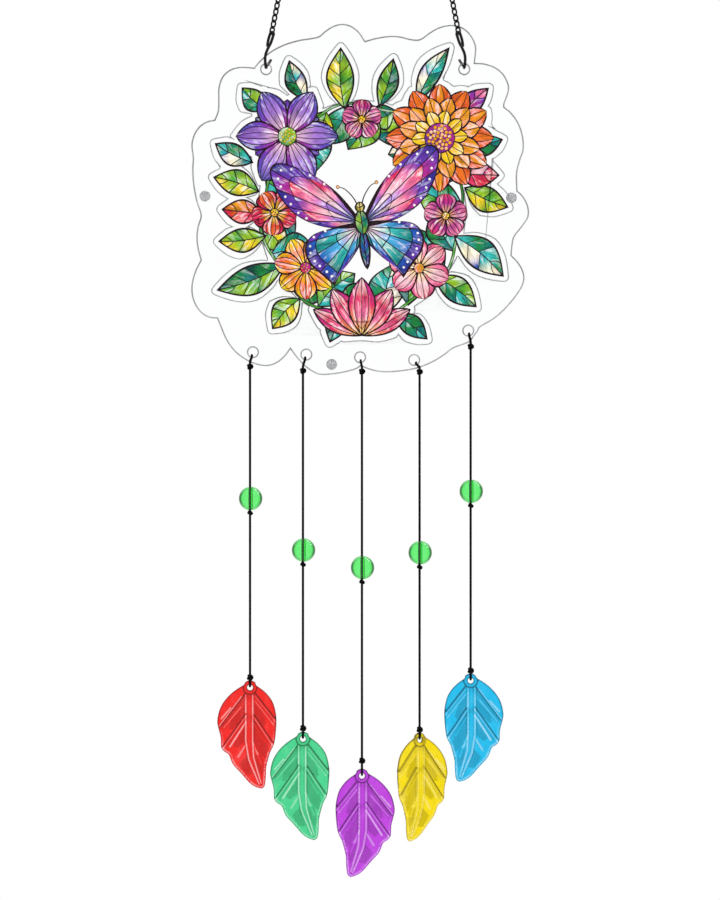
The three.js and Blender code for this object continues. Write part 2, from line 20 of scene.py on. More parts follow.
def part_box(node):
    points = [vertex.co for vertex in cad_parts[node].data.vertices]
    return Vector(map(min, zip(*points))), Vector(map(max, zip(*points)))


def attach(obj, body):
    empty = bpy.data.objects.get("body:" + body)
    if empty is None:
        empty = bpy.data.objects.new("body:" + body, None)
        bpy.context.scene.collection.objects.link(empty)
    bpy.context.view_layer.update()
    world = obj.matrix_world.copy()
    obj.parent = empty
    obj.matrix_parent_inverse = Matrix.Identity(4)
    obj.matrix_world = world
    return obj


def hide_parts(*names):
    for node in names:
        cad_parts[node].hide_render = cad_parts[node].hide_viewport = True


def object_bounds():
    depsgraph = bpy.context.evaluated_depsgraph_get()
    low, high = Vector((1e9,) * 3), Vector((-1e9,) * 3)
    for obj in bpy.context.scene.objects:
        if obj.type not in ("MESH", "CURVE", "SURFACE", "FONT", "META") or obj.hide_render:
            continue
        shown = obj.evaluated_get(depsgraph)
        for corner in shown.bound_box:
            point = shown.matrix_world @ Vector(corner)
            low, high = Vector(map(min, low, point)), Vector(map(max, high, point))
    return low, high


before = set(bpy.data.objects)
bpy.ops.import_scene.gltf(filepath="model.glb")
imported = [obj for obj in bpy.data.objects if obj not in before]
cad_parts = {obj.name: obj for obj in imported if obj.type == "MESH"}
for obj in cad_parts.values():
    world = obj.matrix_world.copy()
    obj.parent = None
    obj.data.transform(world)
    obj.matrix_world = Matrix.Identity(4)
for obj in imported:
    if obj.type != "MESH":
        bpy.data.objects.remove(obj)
CAD_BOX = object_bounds()

log = logging.getLogger("chime")

MM = 0.001
BODY = "root"
CLEARANCE = 0.3 * MM
WHITE = (1, 1, 1, 1)

Point2 = tuple[float, float]
Point3 = tuple[float, float, float]
Colour = tuple[float, float, float]
Material = bpy.types.Material
Piece = bpy.types.Object
Socket = bpy.types.NodeSocket


# Colours and small sums


def from_hex(code: str) -> Colour:
    """Turn six hex digits, a colour as it is seen, into linear light."""
    shown = [int(code[i : i + 2], 16) / 255 for i in (0, 2, 4)]
    return tuple(c / 12.92 if c <= 0.04045 else ((c + 0.055) / 1.055) ** 2.4 for c in shown)


def mix(a: Sequence[float], b: Sequence[float], share: float) -> tuple[float, ...]:
    """Blend two points or colours, a at 0 and b at 1."""
    return tuple(p + (q - p) * share for p, q in zip(a, b))


def smooth_step(low: float, high: float, value: float) -> float:
    """Rise smoothly from 0 at low to 1 at high."""
    t = min(1.0, max(0.0, (value - low) / (high - low)))
    return t * t * (3 - 2 * t)


def bell(away: float, width: float) -> float:
    """Fall smoothly from 1 at no distance to almost 0 at two widths."""
    return math.exp(-((away / width) ** 2))


def segment_distance(p: Point2, a: Point2, b: Point2) -> tuple[float, float, float]:
    """Measure a point against a line segment.

    Args:
        p: The point.
        a: The segment's start.
        b: The segment's end.

    Returns:
        The distance, the share along the segment, and the signed offset from its line.
    """
    dx, dy = b[0] - a[0], b[1] - a[1]
    length = math.hypot(dx, dy)
    along = ((p[0] - a[0]) * dx + (p[1] - a[1]) * dy) / (length * length)
    held = min(1.0, max(0.0, along))
    away = math.hypot(p[0] - a[0] - held * dx, p[1] - a[1] - held * dy)
    side = ((p[0] - a[0]) * -dy + (p[1] - a[1]) * dx) / length
    return away, along, side


def inside(p: Point2, outline: Sequence[Point2]) -> bool:
    """Tell whether a point lies inside a closed outline.

    Args:
        p: The point.
        outline: The outline's points.

    Returns:
        Whether it does.
    """
    hit = False
    for i, (x1, y1) in enumerate(outline):
        x2, y2 = outline[i - 1]
        if (y1 > p[1]) != (y2 > p[1]) and p[0] < (x2 - x1) * (p[1] - y1) / (y2 - y1) + x1:
            hit = not hit
    return hit


def signed_area(outline: Sequence[Point2]) -> float:
    """Area of an outline, positive when it runs anticlockwise."""
    return 0.5 * sum(
        outline[i - 1][0] * y - x * outline[i - 1][1] for i, (x, y) in enumerate(outline)
    )


def crossing(a: Point2, b: Point2, c: Point2, d: Point2) -> Point2 | None:
    """Find where two edges cross.

    Args:
        a: The first edge's start.
        b: Its end.
        c: The second edge's start.
        d: Its end.

    Returns:
        The point, or None where they don't cross.
    """
    first, second = signed_area((a, b, c)), signed_area((a, b, d))
    third, fourth = signed_area((c, d, a)), signed_area((c, d, b))
    if first * second >= 0 or third * fourth >= 0:
        return None
    return mix(a, b, third / (third - fourth))


def untangled(outline: Sequence[Point2]) -> list[Point2]:
    """Cut the small loops off an outline that crosses itself.

    Args:
        outline: The outline.

    Returns:
        Its largest part that doesn't cross itself.
    """
    points = list(outline)
    i = 0
    while i < len(points):
        for j in range(i + 2, len(points)):
            if (j + 1) % len(points) == i:
                continue
            met = crossing(points[i], points[i + 1], points[j], points[(j + 1) % len(points)])
            if met:
                near, far = [met, *points[i + 1 : j + 1]], [met, *points[j + 1 :], *points[: i + 1]]
                points = max(near, far, key=lambda part: abs(signed_area(part)))
                i = -1
                break
        i += 1
    return points


def circle(middle: Point2, radius: float, sides: int) -> list[Point2]:
    """Give the points of an anticlockwise circle.

    Args:
        middle: Its middle.
        radius: Its radius.
        sides: How many points it has.

    Returns:
        The points.
    """
    turn = 2 * math.pi / sides
    return [
        (middle[0] + radius * math.cos(turn * i), middle[1] + radius * math.sin(turn * i))
        for i in range(sides)
    ]


def staggered(outline: Sequence[Point2], step: float) -> list[Point2]:
    """Fill the box round an outline with rows of points, each second row shifted by half a step.

    Args:
        outline: The outline.
        step: The step between points and between rows.

    Returns:
        The points, row by row.
    """
    low = [min(c) for c in zip(*outline)]
    high = [max(c) for c in zip(*outline)]
    rows, columns = (int((high[k] - low[k]) / step) + 1 for k in (1, 0))
    return [
        (low[0] + (column + 0.5 * (row % 2)) * step, low[1] + row * step)
        for row in range(rows)
        for column in range(columns)
    ]


def catmull(points: Sequence[Vector], samples: int, closed: bool, sharp: float = 4.0) -> list[Vector]:
    """Run a smooth curve through points, keeping the corners that are sharper than an angle.

    Args:
        points: The points to pass through.
        samples: How many samples replace each step.
        closed: Whether the last point joins the first.
        sharp: The turn in radians at and above which a corner stays sharp.

    Returns:
        The samples along the curve.
    """
    count = len(points)

    def corner(i: int) -> bool:
        """Tell whether the curve ends or keeps its corner at a point."""
        if not closed and i in (0, count - 1):
            return True
        before, here, after = points[i - 1], points[i], points[(i + 1) % count]
        return (here - before).angle(after - here, 0) >= sharp

    corners = [corner(i) for i in range(count)]
    result = []
    for i in range(count if closed else count - 1):
        j = (i + 1) % count
        p1, p2 = points[i], points[j]
        p0 = p1 * 2 - p2 if corners[i] else points[i - 1]
        p3 = p2 * 2 - p1 if corners[j] else points[(j + 1) % count]
        for k in range(samples):
            t = k / samples
            result.append(
                0.5
                * (
                    2 * p1
                    + (p2 - p0) * t
                    + (2 * p0 - 5 * p1 + 4 * p2 - p3) * t**2
                    + (3 * p1 - p0 - 3 * p2 + p3) * t**3
                )
            )
    if not closed:
        result.append(points[-1].copy())
    return result


# Mesh making


def linked(made: Piece) -> Piece:
    """Link a new object to the scene."""
    bpy.context.scene.collection.objects.link(made)
    return made


def mesh_object(
    name: str,
    points: Iterable[Sequence[float]],
    faces: Iterable[Sequence[int]],
    material: Material,
    crease: float = 30.0,
) -> Piece:
    """Make a smooth-shaded mesh object with sharp edges above an angle.

    Args:
        name: The piece's name.
        points: Its vertices.
        faces: Its faces as lists of vertex numbers.
        material: Its material.
        crease: The angle in degrees above which an edge is sharp.

    Returns:
        The new object, linked to the scene.
    """
    mesh = bpy.data.meshes.new(name)
    mesh.from_pydata([tuple(p) for p in points], [], [tuple(f) for f in faces])
    mesh.validate()
    mesh.polygons.foreach_set("use_smooth", [True] * len(mesh.polygons))
    mesh.set_sharp_from_angle(angle=math.radians(crease))
    mesh.materials.append(material)
    return linked(bpy.data.objects.new(name, mesh))


def tube_mesh(
    path: Sequence[Vector], radius: float | Sequence[float], sides: int, closed: bool = False
) -> tuple[list[Vector], list[tuple[int, ...]], list[list[Point2]]]:
    """Build a tube round a path, with rounded ends when it is open.

    Args:
        path: The points of its centreline.
        radius: One radius, or one for each point.
        sides: The corners of its section.
        closed: Whether the path joins up.

    Returns:
        The vertices, the faces, and each face's UVs: turns around, and metres along.
    """
    count = len(path)
    radii = list(radius) if isinstance(radius, (list, tuple)) else [radius] * count
    tangents = []
    for i in range(count):
        after = path[(i + 1) % count] if closed or i < count - 1 else path[i]
        before = path[i - 1] if closed or i else path[i]
        tangents.append((after - before).normalized())
    across = tangents[0].orthogonal().normalized()
    if abs(tangents[0].x) < 0.9:
        across = (Vector((1, 0, 0)) - tangents[0] * tangents[0].x).normalized()
    frames = [across]
    for i in range(1, count):
        turned = tangents[i - 1].rotation_difference(tangents[i]) @ frames[-1]
        frames.append((turned - tangents[i] * turned.dot(tangents[i])).normalized())
    slip = 0.0
    if closed:
        last = tangents[-1].rotation_difference(tangents[0]) @ frames[-1]
        slip = math.atan2(last.cross(frames[0]).dot(tangents[0]), last.dot(frames[0]))
    rings = []
    if not closed:
        rings.append((path[0] - tangents[0] * radii[0] * 0.35, radii[0] * 0.72, 0, 0.0))
    for i in range(count):
        rings.append((path[i], radii[i], i, slip * i / count))
    if not closed:
        rings.append((path[-1] + tangents[-1] * radii[-1] * 0.35, radii[-1] * 0.72, count - 1, 0.0))
    points, along, travelled = [], [], 0.0
    for n, (middle, reach, i, twist) in enumerate(rings):
        if n:
            travelled += (middle - rings[n - 1][0]).length
        along.append(travelled)
        side = tangents[i].cross(frames[i])
        for k in range(sides):
            angle = 2 * math.pi * k / sides + twist
            points.append(middle + (frames[i] * math.cos(angle) + side * math.sin(angle)) * reach)
    faces, uvs = [], []
    total = len(rings)
    for n in range(total if closed else total - 1):
        m = (n + 1) % total
        far = along[m] if m else travelled + (rings[0][0] - rings[-1][0]).length
        for k in range(sides):
            j = (k + 1) % sides
            faces.append((n * sides + k, n * sides + j, m * sides + j, m * sides + k))
            u0, u1 = k / sides, (k + 1) / sides
            uvs.append([(u0, along[n]), (u1, along[n]), (u1, far), (u0, far)])
    if not closed:
        for n, order in ((0, -1), (total - 1, 1)):
            faces.append(tuple(n * sides + k for k in range(sides))[::order])
            uvs.append([(k / sides, along[n]) for k in range(sides)][::order])
    return points, faces, uvs


def tube_object(
    name: str,
    paths: Sequence[tuple[Sequence[Vector], bool]],
    radius: float | Sequence[float],
    sides: int,
    material: Material,
) -> Piece:
    """Make one object of one or more tubes, with UVs.

    Args:
        name: The piece's name.
        paths: The centrelines, each with whether it is closed.
        radius: The tubes' radius, or one for each point.
        sides: The corners of their section.
        material: Their material.

    Returns:
        The new object.
    """
    points: list[Vector] = []
    faces: list[tuple[int, ...]] = []
    uvs: list[Point2] = []
    for path, closed in paths:
        start = len(points)
        new_points, new_faces, new_uvs = tube_mesh(path, radius, sides, closed)
        points += new_points
        faces += [tuple(start + v for v in face) for face in new_faces]
        uvs += [uv for face in new_uvs for uv in face]
    made = mesh_object(name, points, faces, material, 50)
    layer = made.data.uv_layers.new(name="around")
    layer.data.foreach_set("uv", [value for uv in uvs for value in uv])
    return made


def lathe_object(
    name: str,
    profile: Sequence[Point2],
    sides: int,
    place: Vector,
    material: Material,
    axis: str = "Z",
) -> Piece:
    """Turn a closed or axis-to-axis profile of (radius, height) about an axis.

    Args:
        name: The piece's name.
        profile: The profile's points.
        sides: The steps round the axis.
        place: Where the profile's origin goes.
        material: The piece's material.
        axis: "Z", or "Y" for a piece that faces -Y with its height towards +Y.

    Returns:
        The new object.
    """
    points: list[Vector] = []
    rows: list[list[int]] = []
    for radius, height in profile:
        row = []
        for k in range(1 if radius == 0 else sides):
            angle = 2 * math.pi * k / sides
            x, y = radius * math.cos(angle), radius * math.sin(angle)
            row.append(len(points))
            points.append(place + Vector((x, y, height) if axis == "Z" else (x, height, -y)))
        rows.append(row)
    on_axis = profile[0][0] == 0
    pairs = list(zip(rows, rows[1:])) + ([] if on_axis else [(rows[-1], rows[0])])
    faces = []
    for low, high in pairs:
        for k in range(sides):
            j = (k + 1) % sides
            quad = [low[k % len(low)], low[j % len(low)], high[j % len(high)], high[k % len(high)]]
            faces.append(tuple(dict.fromkeys(quad)))
    return mesh_object(name, points, [f for f in faces if len(f) > 2], material, 40)


def node_outlines(node: str) -> list[list[Vector]]:
    """Read the closed outlines of a flat node's front face from its solid.

    Args:
        node: The node's name.

    Returns:
        Its outlines in x and z, the longest first.
    """
    shape = bmesh.new()
    shape.from_mesh(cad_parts[node].data)
    bmesh.ops.remove_doubles(shape, verts=shape.verts, dist=1e-6)
    front = {f for f in shape.faces if f.normal.y < -0.9}
    follow = {}
    for edge in shape.edges:
        touching = [f for f in edge.link_faces if f in front]
        if len(touching) == 1:
            loop = next(one for one in touching[0].loops if one.edge == edge)
            follow[loop.vert] = loop.link_loop_next.vert
    outlines = []
    while follow:
        start, here = follow.popitem()
        outline = [start]
        while here is not start:
            outline.append(here)
            here = follow.pop(here)
        outlines.append([Vector((v.co.x, v.co.z)) for v in outline])
    shape.free()
    return sorted(outlines, key=lambda o: -abs(signed_area([tuple(p) for p in o])))


def sheet_object(
    name: str,
    outlines: Sequence[Sequence[Vector]],
    front: float,
    back: float,
    bevel: float,
    material: Material,
) -> Piece:
    """Make a flat sheet between two depths, with rounded edges along every outline.

    Args:
        name: The piece's name.
        outlines: The outer outline and its holes, in x and z.
        front: The depth of its front face.
        back: The depth of its back face.
        bevel: The radius of its rounded edges.
        material: Its material.

    Returns:
        The new object.
    """
    curve = bpy.data.curves.new(name, "CURVE")
    curve.dimensions = "2D"
    curve.fill_mode = "BOTH"
    curve.extrude = (back - front) / 2 - bevel
    curve.bevel_depth = bevel
    curve.bevel_resolution = 2
    curve.offset = -bevel
    for outline in outlines:
        spline = curve.splines.new("POLY")
        spline.points.add(len(outline) - 1)
        for point, place in zip(spline.points, outline):
            point.co = (place.x, place.y, 0, 1)
        spline.use_cyclic_u = True
    holder = linked(bpy.data.objects.new(name + "_outline", curve))
    shape = bmesh.new()
    shape.from_mesh(holder.to_mesh())
    bmesh.ops.remove_doubles(shape, verts=shape.verts, dist=2e-6)
    middle = (front + back) / 2
    points = [(v.co.x, middle - v.co.z, v.co.y) for v in shape.verts]
    shape.verts.index_update()
    faces = [[v.index for v in f.verts] for f in shape.faces]
    shape.free()
    bpy.data.objects.remove(holder)
    bpy.data.curves.remove(curve)
    made = mesh_object(name, points, faces, material, 35)
    weigh = made.modifiers.new("weigh", "WEIGHTED_NORMAL")
    weigh.keep_sharp = True
    weigh.weight = 100
    return made


# Materials


class Tree:
    """A node tree with short calls to add nodes and join them."""

    def __init__(self, tree: bpy.types.NodeTree) -> None:
        """Hold the tree to write in."""
        self.tree = tree

    def add(self, kind: str, inputs: dict | None = None, **settings: object) -> bpy.types.Node:
        """Add a node.

        Args:
            kind: The node's type name.
            inputs: Values for its sockets by name or number, or sockets to link to them.
            settings: Its own properties.

        Returns:
            The node.
        """
        node = self.tree.nodes.new(kind)
        for key, value in settings.items():
            setattr(node, key, value)
        for key, value in (inputs or {}).items():
            if isinstance(value, Socket):
                self.join(value, node.inputs[key])
            else:
                node.inputs[key].default_value = value
        return node

    def join(self, start: Socket, end: Socket) -> None:
        """Link an output to an input."""
        self.tree.links.new(start, end)

    def maths(self, operation: str, *values: object, clamp: bool = False) -> Socket:
        """Add a Math node on numbers or sockets, held between 0 and 1 if asked, and return its result."""
        node = self.add("ShaderNodeMath", dict(enumerate(values)), operation=operation, use_clamp=clamp)
        return node.outputs[0]

    def blend(self, factor: object, a: object, b: object, way: str = "MIX") -> Socket:
        """Mix two colours and return the result."""
        node = self.add("ShaderNodeMix", {0: factor, 6: a, 7: b}, data_type="RGBA", blend_type=way)
        return node.outputs[2]


def group(name: str, inputs: dict[str, object], outputs: Sequence[str]) -> tuple[Tree, dict, dict]:
    """Start a shader node group with named sockets.

    Args:
        name: The group's name.
        inputs: Names and defaults, a number or a colour.
        outputs: Names, of which those that end in Colour are colours.

    Returns:
        Its tree, its input sockets by name, and the output node's sockets by name.
    """
    made = bpy.data.node_groups.new(name, "ShaderNodeTree")
    for key, value in inputs.items():
        kind = "NodeSocketFloat" if isinstance(value, float) else "NodeSocketColor"
        made.interface.new_socket(key, in_out="INPUT", socket_type=kind).default_value = value
    for key in outputs:
        kind = "NodeSocketColor" if key.endswith("Colour") else "NodeSocketFloat"
        made.interface.new_socket(key, in_out="OUTPUT", socket_type=kind)
    tree = Tree(made)
    start, end = tree.add("NodeGroupInput"), tree.add("NodeGroupOutput")
    return tree, {k: start.outputs[k] for k in inputs}, {k: end.inputs[k] for k in outputs}


class Effect(Enum):
    """The shader effects that several finishes share."""

    STREAKS = "streaked_colour"
    GRAIN = "fine_grain"
    BRUSH = "brushed_ink"
    BRAID = "braided_thread"
    WEAR = "worn_paint"

    def tree(self) -> bpy.types.NodeTree:
        """Give this effect's node group, built the first time it is asked for."""
        found = bpy.data.node_groups.get(self.value)
        if found is None:
            BUILDERS[self]()
            found = bpy.data.node_groups[self.value]
        return found


def build_streaks() -> None:
    """Build the cloudy, streaked colour of cast and printed plastic."""
    tree, given, out = group(
        Effect.STREAKS.value,
        {"Colour": (1, 1, 1, 1), "Scale": 60.0, "Stretch": 0.35, "Depth": 0.2, "Haze": 0.1},
        ["Colour", "Mask"],
    )
    place = tree.add("ShaderNodeTexCoord").outputs["Object"]
    parts = tree.add("ShaderNodeSeparateXYZ", {0: place})
    up = tree.maths("MULTIPLY", parts.outputs[2], given["Stretch"])
    stretched = tree.add("ShaderNodeCombineXYZ", {0: parts.outputs[0], 1: parts.outputs[1], 2: up})
    cloud = tree.add(
        "ShaderNodeTexNoise",
        {"Vector": stretched.outputs[0], "Scale": given["Scale"], "Detail": 4.0, "Distortion": 1.6},
    ).outputs[0]
    fine = tree.maths("MULTIPLY", given["Scale"], 4.3)
    speck = tree.add("ShaderNodeTexNoise", {"Vector": place, "Scale": fine, "Detail": 3.0}).outputs[0]
    swing = tree.maths("SUBTRACT", tree.maths("ADD", tree.maths("MULTIPLY", cloud, 1.5), speck), 1.25)
    shade = tree.maths("MULTIPLY_ADD", swing, given["Depth"], 1.0)
    grey = tree.add("ShaderNodeCombineColor", {0: shade, 1: shade, 2: shade}).outputs[0]
    relief_light_painted = tree.blend(1.0, given["Colour"], grey, "MULTIPLY")
    pale = tree.maths("MULTIPLY", tree.maths("SUBTRACT", cloud, 0.5, clamp=True), given["Haze"])
    hazy = tree.blend(tree.maths("MULTIPLY", pale, 4.0, clamp=True), relief_light_painted, WHITE)
    tree.join(hazy, out["Colour"])
    tree.join(cloud, out["Mask"])


def build_brush() -> None:
    """Build ink brushed on in strokes that follow each patch's own direction."""
    tree, given, out = group(
        Effect.BRUSH.value,
        {"Ink": (1, 1, 1, 1), "Flow": (0.5, 1, 0, 1), "Depth": 0.4, "Haze": 0.3, "Scale": 420.0},
        ["Colour", "Height"],
    )
    way = tree.add("ShaderNodeSeparateColor", {0: given["Flow"]})
    across, up = (tree.maths("MULTIPLY_ADD", way.outputs[k], 2.0, -1.0) for k in (0, 1))
    place = tree.add("ShaderNodeSeparateXYZ", {0: tree.add("ShaderNodeTexCoord").outputs["Object"]})
    x, z = place.outputs[0], place.outputs[2]
    along = tree.maths("ADD", tree.maths("MULTIPLY", x, across), tree.maths("MULTIPLY", z, up))
    aside = tree.maths("SUBTRACT", tree.maths("MULTIPLY", z, across), tree.maths("MULTIPLY", x, up))

    def strokes(length: float, width: float, detail: float) -> Socket:
        """Give strokes whose length and width fall as their two scales rise."""
        run, side = tree.maths("MULTIPLY", along, length), tree.maths("MULTIPLY", aside, width)
        seed = tree.maths("MULTIPLY", way.outputs[2], 0.5)
        spot = tree.add("ShaderNodeCombineXYZ", {0: run, 1: side, 2: seed}).outputs[0]
        look = {"Vector": spot, "Scale": given["Scale"], "Detail": detail, "Distortion": 0.8}
        return tree.add("ShaderNodeTexNoise", look).outputs[0]

    wide, fine = strokes(0.16, 0.55, 3.0), strokes(0.55, 2.6, 2.0)
    swing = tree.maths("SUBTRACT", tree.maths("ADD", tree.maths("MULTIPLY", wide, 1.4), fine), 1.2)
    shade = tree.maths("MULTIPLY_ADD", swing, given["Depth"], 1.0)
    grey = tree.add("ShaderNodeCombineColor", {0: shade, 1: shade, 2: shade}).outputs[0]
    relief_light_painted = tree.blend(1.0, given["Ink"], grey, "MULTIPLY")
    lit = tree.maths("MULTIPLY", tree.maths("SUBTRACT", wide, 0.5), 6.0, clamp=True)
    thin = tree.maths("MULTIPLY", tree.maths("SUBTRACT", fine, 0.42), 5.0, clamp=True)
    red, green, blue = tree.add("ShaderNodeSeparateColor", {0: given["Ink"]}).outputs
    bright = tree.maths("MAXIMUM", tree.maths("MAXIMUM", red, green), blue)
    lit = tree.maths("MULTIPLY", lit, tree.maths("MULTIPLY", bright, 3.0, clamp=True))
    pale = tree.maths("MULTIPLY", tree.maths("MULTIPLY", lit, thin), given["Haze"])
    tree.join(tree.blend(pale, relief_light_painted, WHITE), out["Colour"])
    tree.join(fine, out["Height"])


def build_grain() -> None:
    """Build the fine grain that unsettles a surface's height and roughness."""
    tree, given, out = group(
        Effect.GRAIN.value, {"Scale": 900.0, "Roughness": 0.3, "Spread": 0.1}, ["Height", "Roughness"]
    )
    place = tree.add("ShaderNodeTexCoord").outputs["Object"]
    small = tree.add("ShaderNodeTexNoise", {"Vector": place, "Scale": given["Scale"], "Detail": 5.0})
    wide = tree.maths("MULTIPLY", given["Scale"], 0.07)
    patch = tree.add("ShaderNodeTexNoise", {"Vector": place, "Scale": wide, "Detail": 3.0}).outputs[0]
    height = tree.maths("ADD", small.outputs[0], tree.maths("MULTIPLY", patch, 0.6))
    tree.join(height, out["Height"])
    swing = tree.maths("MULTIPLY", tree.maths("SUBTRACT", patch, 0.5), given["Spread"])
    tree.join(tree.maths("ADD", given["Roughness"], swing, clamp=True), out["Roughness"])


def build_braid() -> None:
    """Build the crossing strands of a braided cord, along the UVs of its tube, with a share that paints
    shade into their valleys.
    """
    tree, given, out = group(Effect.BRAID.value, {"Strands": 4.0, "Lay": 2600.0}, ["Height", "Painted Shade"])
    uv = tree.add("ShaderNodeUVMap", uv_map="around").outputs[0]
    parts = tree.add("ShaderNodeSeparateXYZ", {0: uv})
    turns = tree.maths("MULTIPLY", tree.maths("MULTIPLY", parts.outputs[0], given["Strands"]), 2 * math.pi)
    run = tree.maths("MULTIPLY", parts.outputs[1], given["Lay"])
    left = tree.maths("SINE", tree.maths("ADD", turns, run))
    right = tree.maths("SINE", tree.maths("SUBTRACT", turns, run))
    height = tree.maths("MAXIMUM", left, right)
    tree.join(height, out["Height"])
    # The share of the crest's black; lower values paint shade into the valleys.
    tree.join(tree.maths("MULTIPLY_ADD", height, 0.35, 0.65), out["Painted Shade"])


def build_wear() -> None:
    """Build paint that is rubbed thin in small patches."""
    tree, given, out = group(
        Effect.WEAR.value,
        {"Paint Colour": (0, 0, 0, 1), "Worn Colour": (1, 1, 1, 1), "Amount": 0.3, "Scale": 700.0},
        ["Colour", "Mask"],
    )
    place = tree.add("ShaderNodeTexCoord").outputs["Object"]
    noise = tree.add(
        "ShaderNodeTexNoise", {"Vector": place, "Scale": given["Scale"], "Detail": 6.0, "Roughness": 0.7}
    ).outputs[0]
    edge = tree.maths("SUBTRACT", 0.78, tree.maths("MULTIPLY", given["Amount"], 0.35))
    spot = tree.maths("MULTIPLY", tree.maths("SUBTRACT", noise, edge), 9.0, clamp=True)
    tree.join(tree.blend(spot, given["Paint Colour"], given["Worn Colour"]), out["Colour"])
    tree.join(spot, out["Mask"])


BUILDERS: dict[Effect, Callable[[], None]] = {
    Effect.STREAKS: build_streaks,
    Effect.GRAIN: build_grain,
    Effect.BRUSH: build_brush,
    Effect.BRAID: build_braid,
    Effect.WEAR: build_wear,
}


def opaque(colour: Colour) -> tuple[float, float, float, float]:
    """Give a colour its alpha of 1."""
    return (*colour, 1.0)


class Painter:
    """One material's tree, its Principled shader and the effects that feed it."""

    def __init__(self, name: str, **constants: object) -> None:
        """Start a material whose shader sockets hold the given values.

        Args:
            name: The material's name.
            constants: Shader socket values, with _ for the spaces in their names.
        """
        self.material = bpy.data.materials.new(name)
        self.material.use_nodes = True
        self.tree = Tree(self.material.node_tree)
        self.shader = self.material.node_tree.nodes["Principled BSDF"]
        for key, value in constants.items():
            self.shader.inputs[key.replace("_", " ")].default_value = value

    def effect(self, effect: Effect, inputs: dict | None = None) -> bpy.types.Node:
        """Place a shared effect with its own values."""
        return self.tree.add("ShaderNodeGroup", inputs, node_tree=effect.tree())

    def feed(self, socket: str, value: Socket) -> None:
        """Link a value to one of the shader's sockets."""
        self.tree.join(value, self.shader.inputs[socket])

    def bump(self, height: Socket, strength: float, depth: float) -> None:
        """Raise the surface by a height, of which 1 is a depth in metres, in the shader's Normal."""
        node = self.tree.add("ShaderNodeBump", {"Height": height, "Strength": strength, "Distance": depth})
        self.feed("Normal", node.outputs[0])

    def streaks(self, colour: Colour, **values: float) -> bpy.types.Node:
        """Place the streaked colour of plastic, with its values named as the effect's sockets."""
        return self.effect(Effect.STREAKS, {"Colour": opaque(colour), **values})

    def finish(
        self,
        colour: Socket,
        grain: Point3,
        strength: float,
        depth: float,
        height: Socket | None = None,
    ) -> Material:
        """Feed a colour, a grain's roughness and a bump to the shader.

        Args:
            colour: The colour's socket.
            grain: The grain's scale, roughness and spread.
            strength: The bump's strength.
            depth: The height of 1, in metres.
            height: The bump's own height, or None for the grain's.

        Returns:
            The finished material.
        """
        made = self.effect(Effect.GRAIN, dict(zip(("Scale", "Roughness", "Spread"), grain)))
        self.feed("Base Color", colour)
        self.feed("Roughness", made.outputs["Roughness"])
        self.bump(height or made.outputs["Height"], strength, depth)
        return self.material


@dataclass(frozen=True)
class ClearAcrylic:
    """Polished clear sheet with the faintest waviness."""

    name: str = "clear_acrylic"
    tint: Colour = (0.985, 0.99, 0.99)
    waviness: float = 0.04

    def material(self) -> Material:
        """Build the material."""
        made = Painter(self.name, Transmission_Weight=1.0, IOR=1.49, Roughness=0.02)
        streaks = made.streaks(self.tint, Scale=30.0, Depth=0.012, Haze=0.0)
        return made.finish(streaks.outputs["Colour"], (220.0, 0.02, 0.04), self.waviness, 0.05 * MM)


@dataclass(frozen=True)
class CutEdge:
    """The sheet's cut edge, ground a little duller than its faces and tinted dark grey as painted shade for
    the dark line the edge shows.
    """

    name: str = "cut_edge"
    # The dark grey is painted shade, not the acrylic's own colour.
    tint: Colour = (0.22, 0.23, 0.25)
    transmission: float = 0.65

    def material(self) -> Material:
        """Build the material."""
        made = Painter(self.name, Transmission_Weight=self.transmission, IOR=1.49)
        streaks = made.streaks(self.tint, Scale=140.0, Depth=0.35, Haze=0.2)
        return made.finish(streaks.outputs["Colour"], (700.0, 0.3, 0.2), 0.2, 0.04 * MM)


@dataclass(frozen=True)
class SeeThroughInk:
    """Printed ink that lets the light through, brushed like art glass."""

    name: str = "see_through_ink"
    depth: float = 1.9
    haze: float = 0.75

    def material(self) -> Material:
        """Build the material, which reads its colours from the mesh."""
        made = Painter(self.name, Transmission_Weight=0.82, IOR=1.0, Coat_Weight=0.2, Coat_Roughness=0.12)
        printed, flow = (
            made.tree.add("ShaderNodeAttribute", attribute_name=name).outputs["Color"]
            for name in ("ink", "flow")
        )
        values = {"Ink": printed, "Flow": flow, "Depth": self.depth, "Haze": self.haze}
        brush = made.effect(Effect.BRUSH, values)
        height = brush.outputs["Height"]
        return made.finish(brush.outputs["Colour"], (1500.0, 0.3, 0.12), 0.2, 0.04 * MM, height)


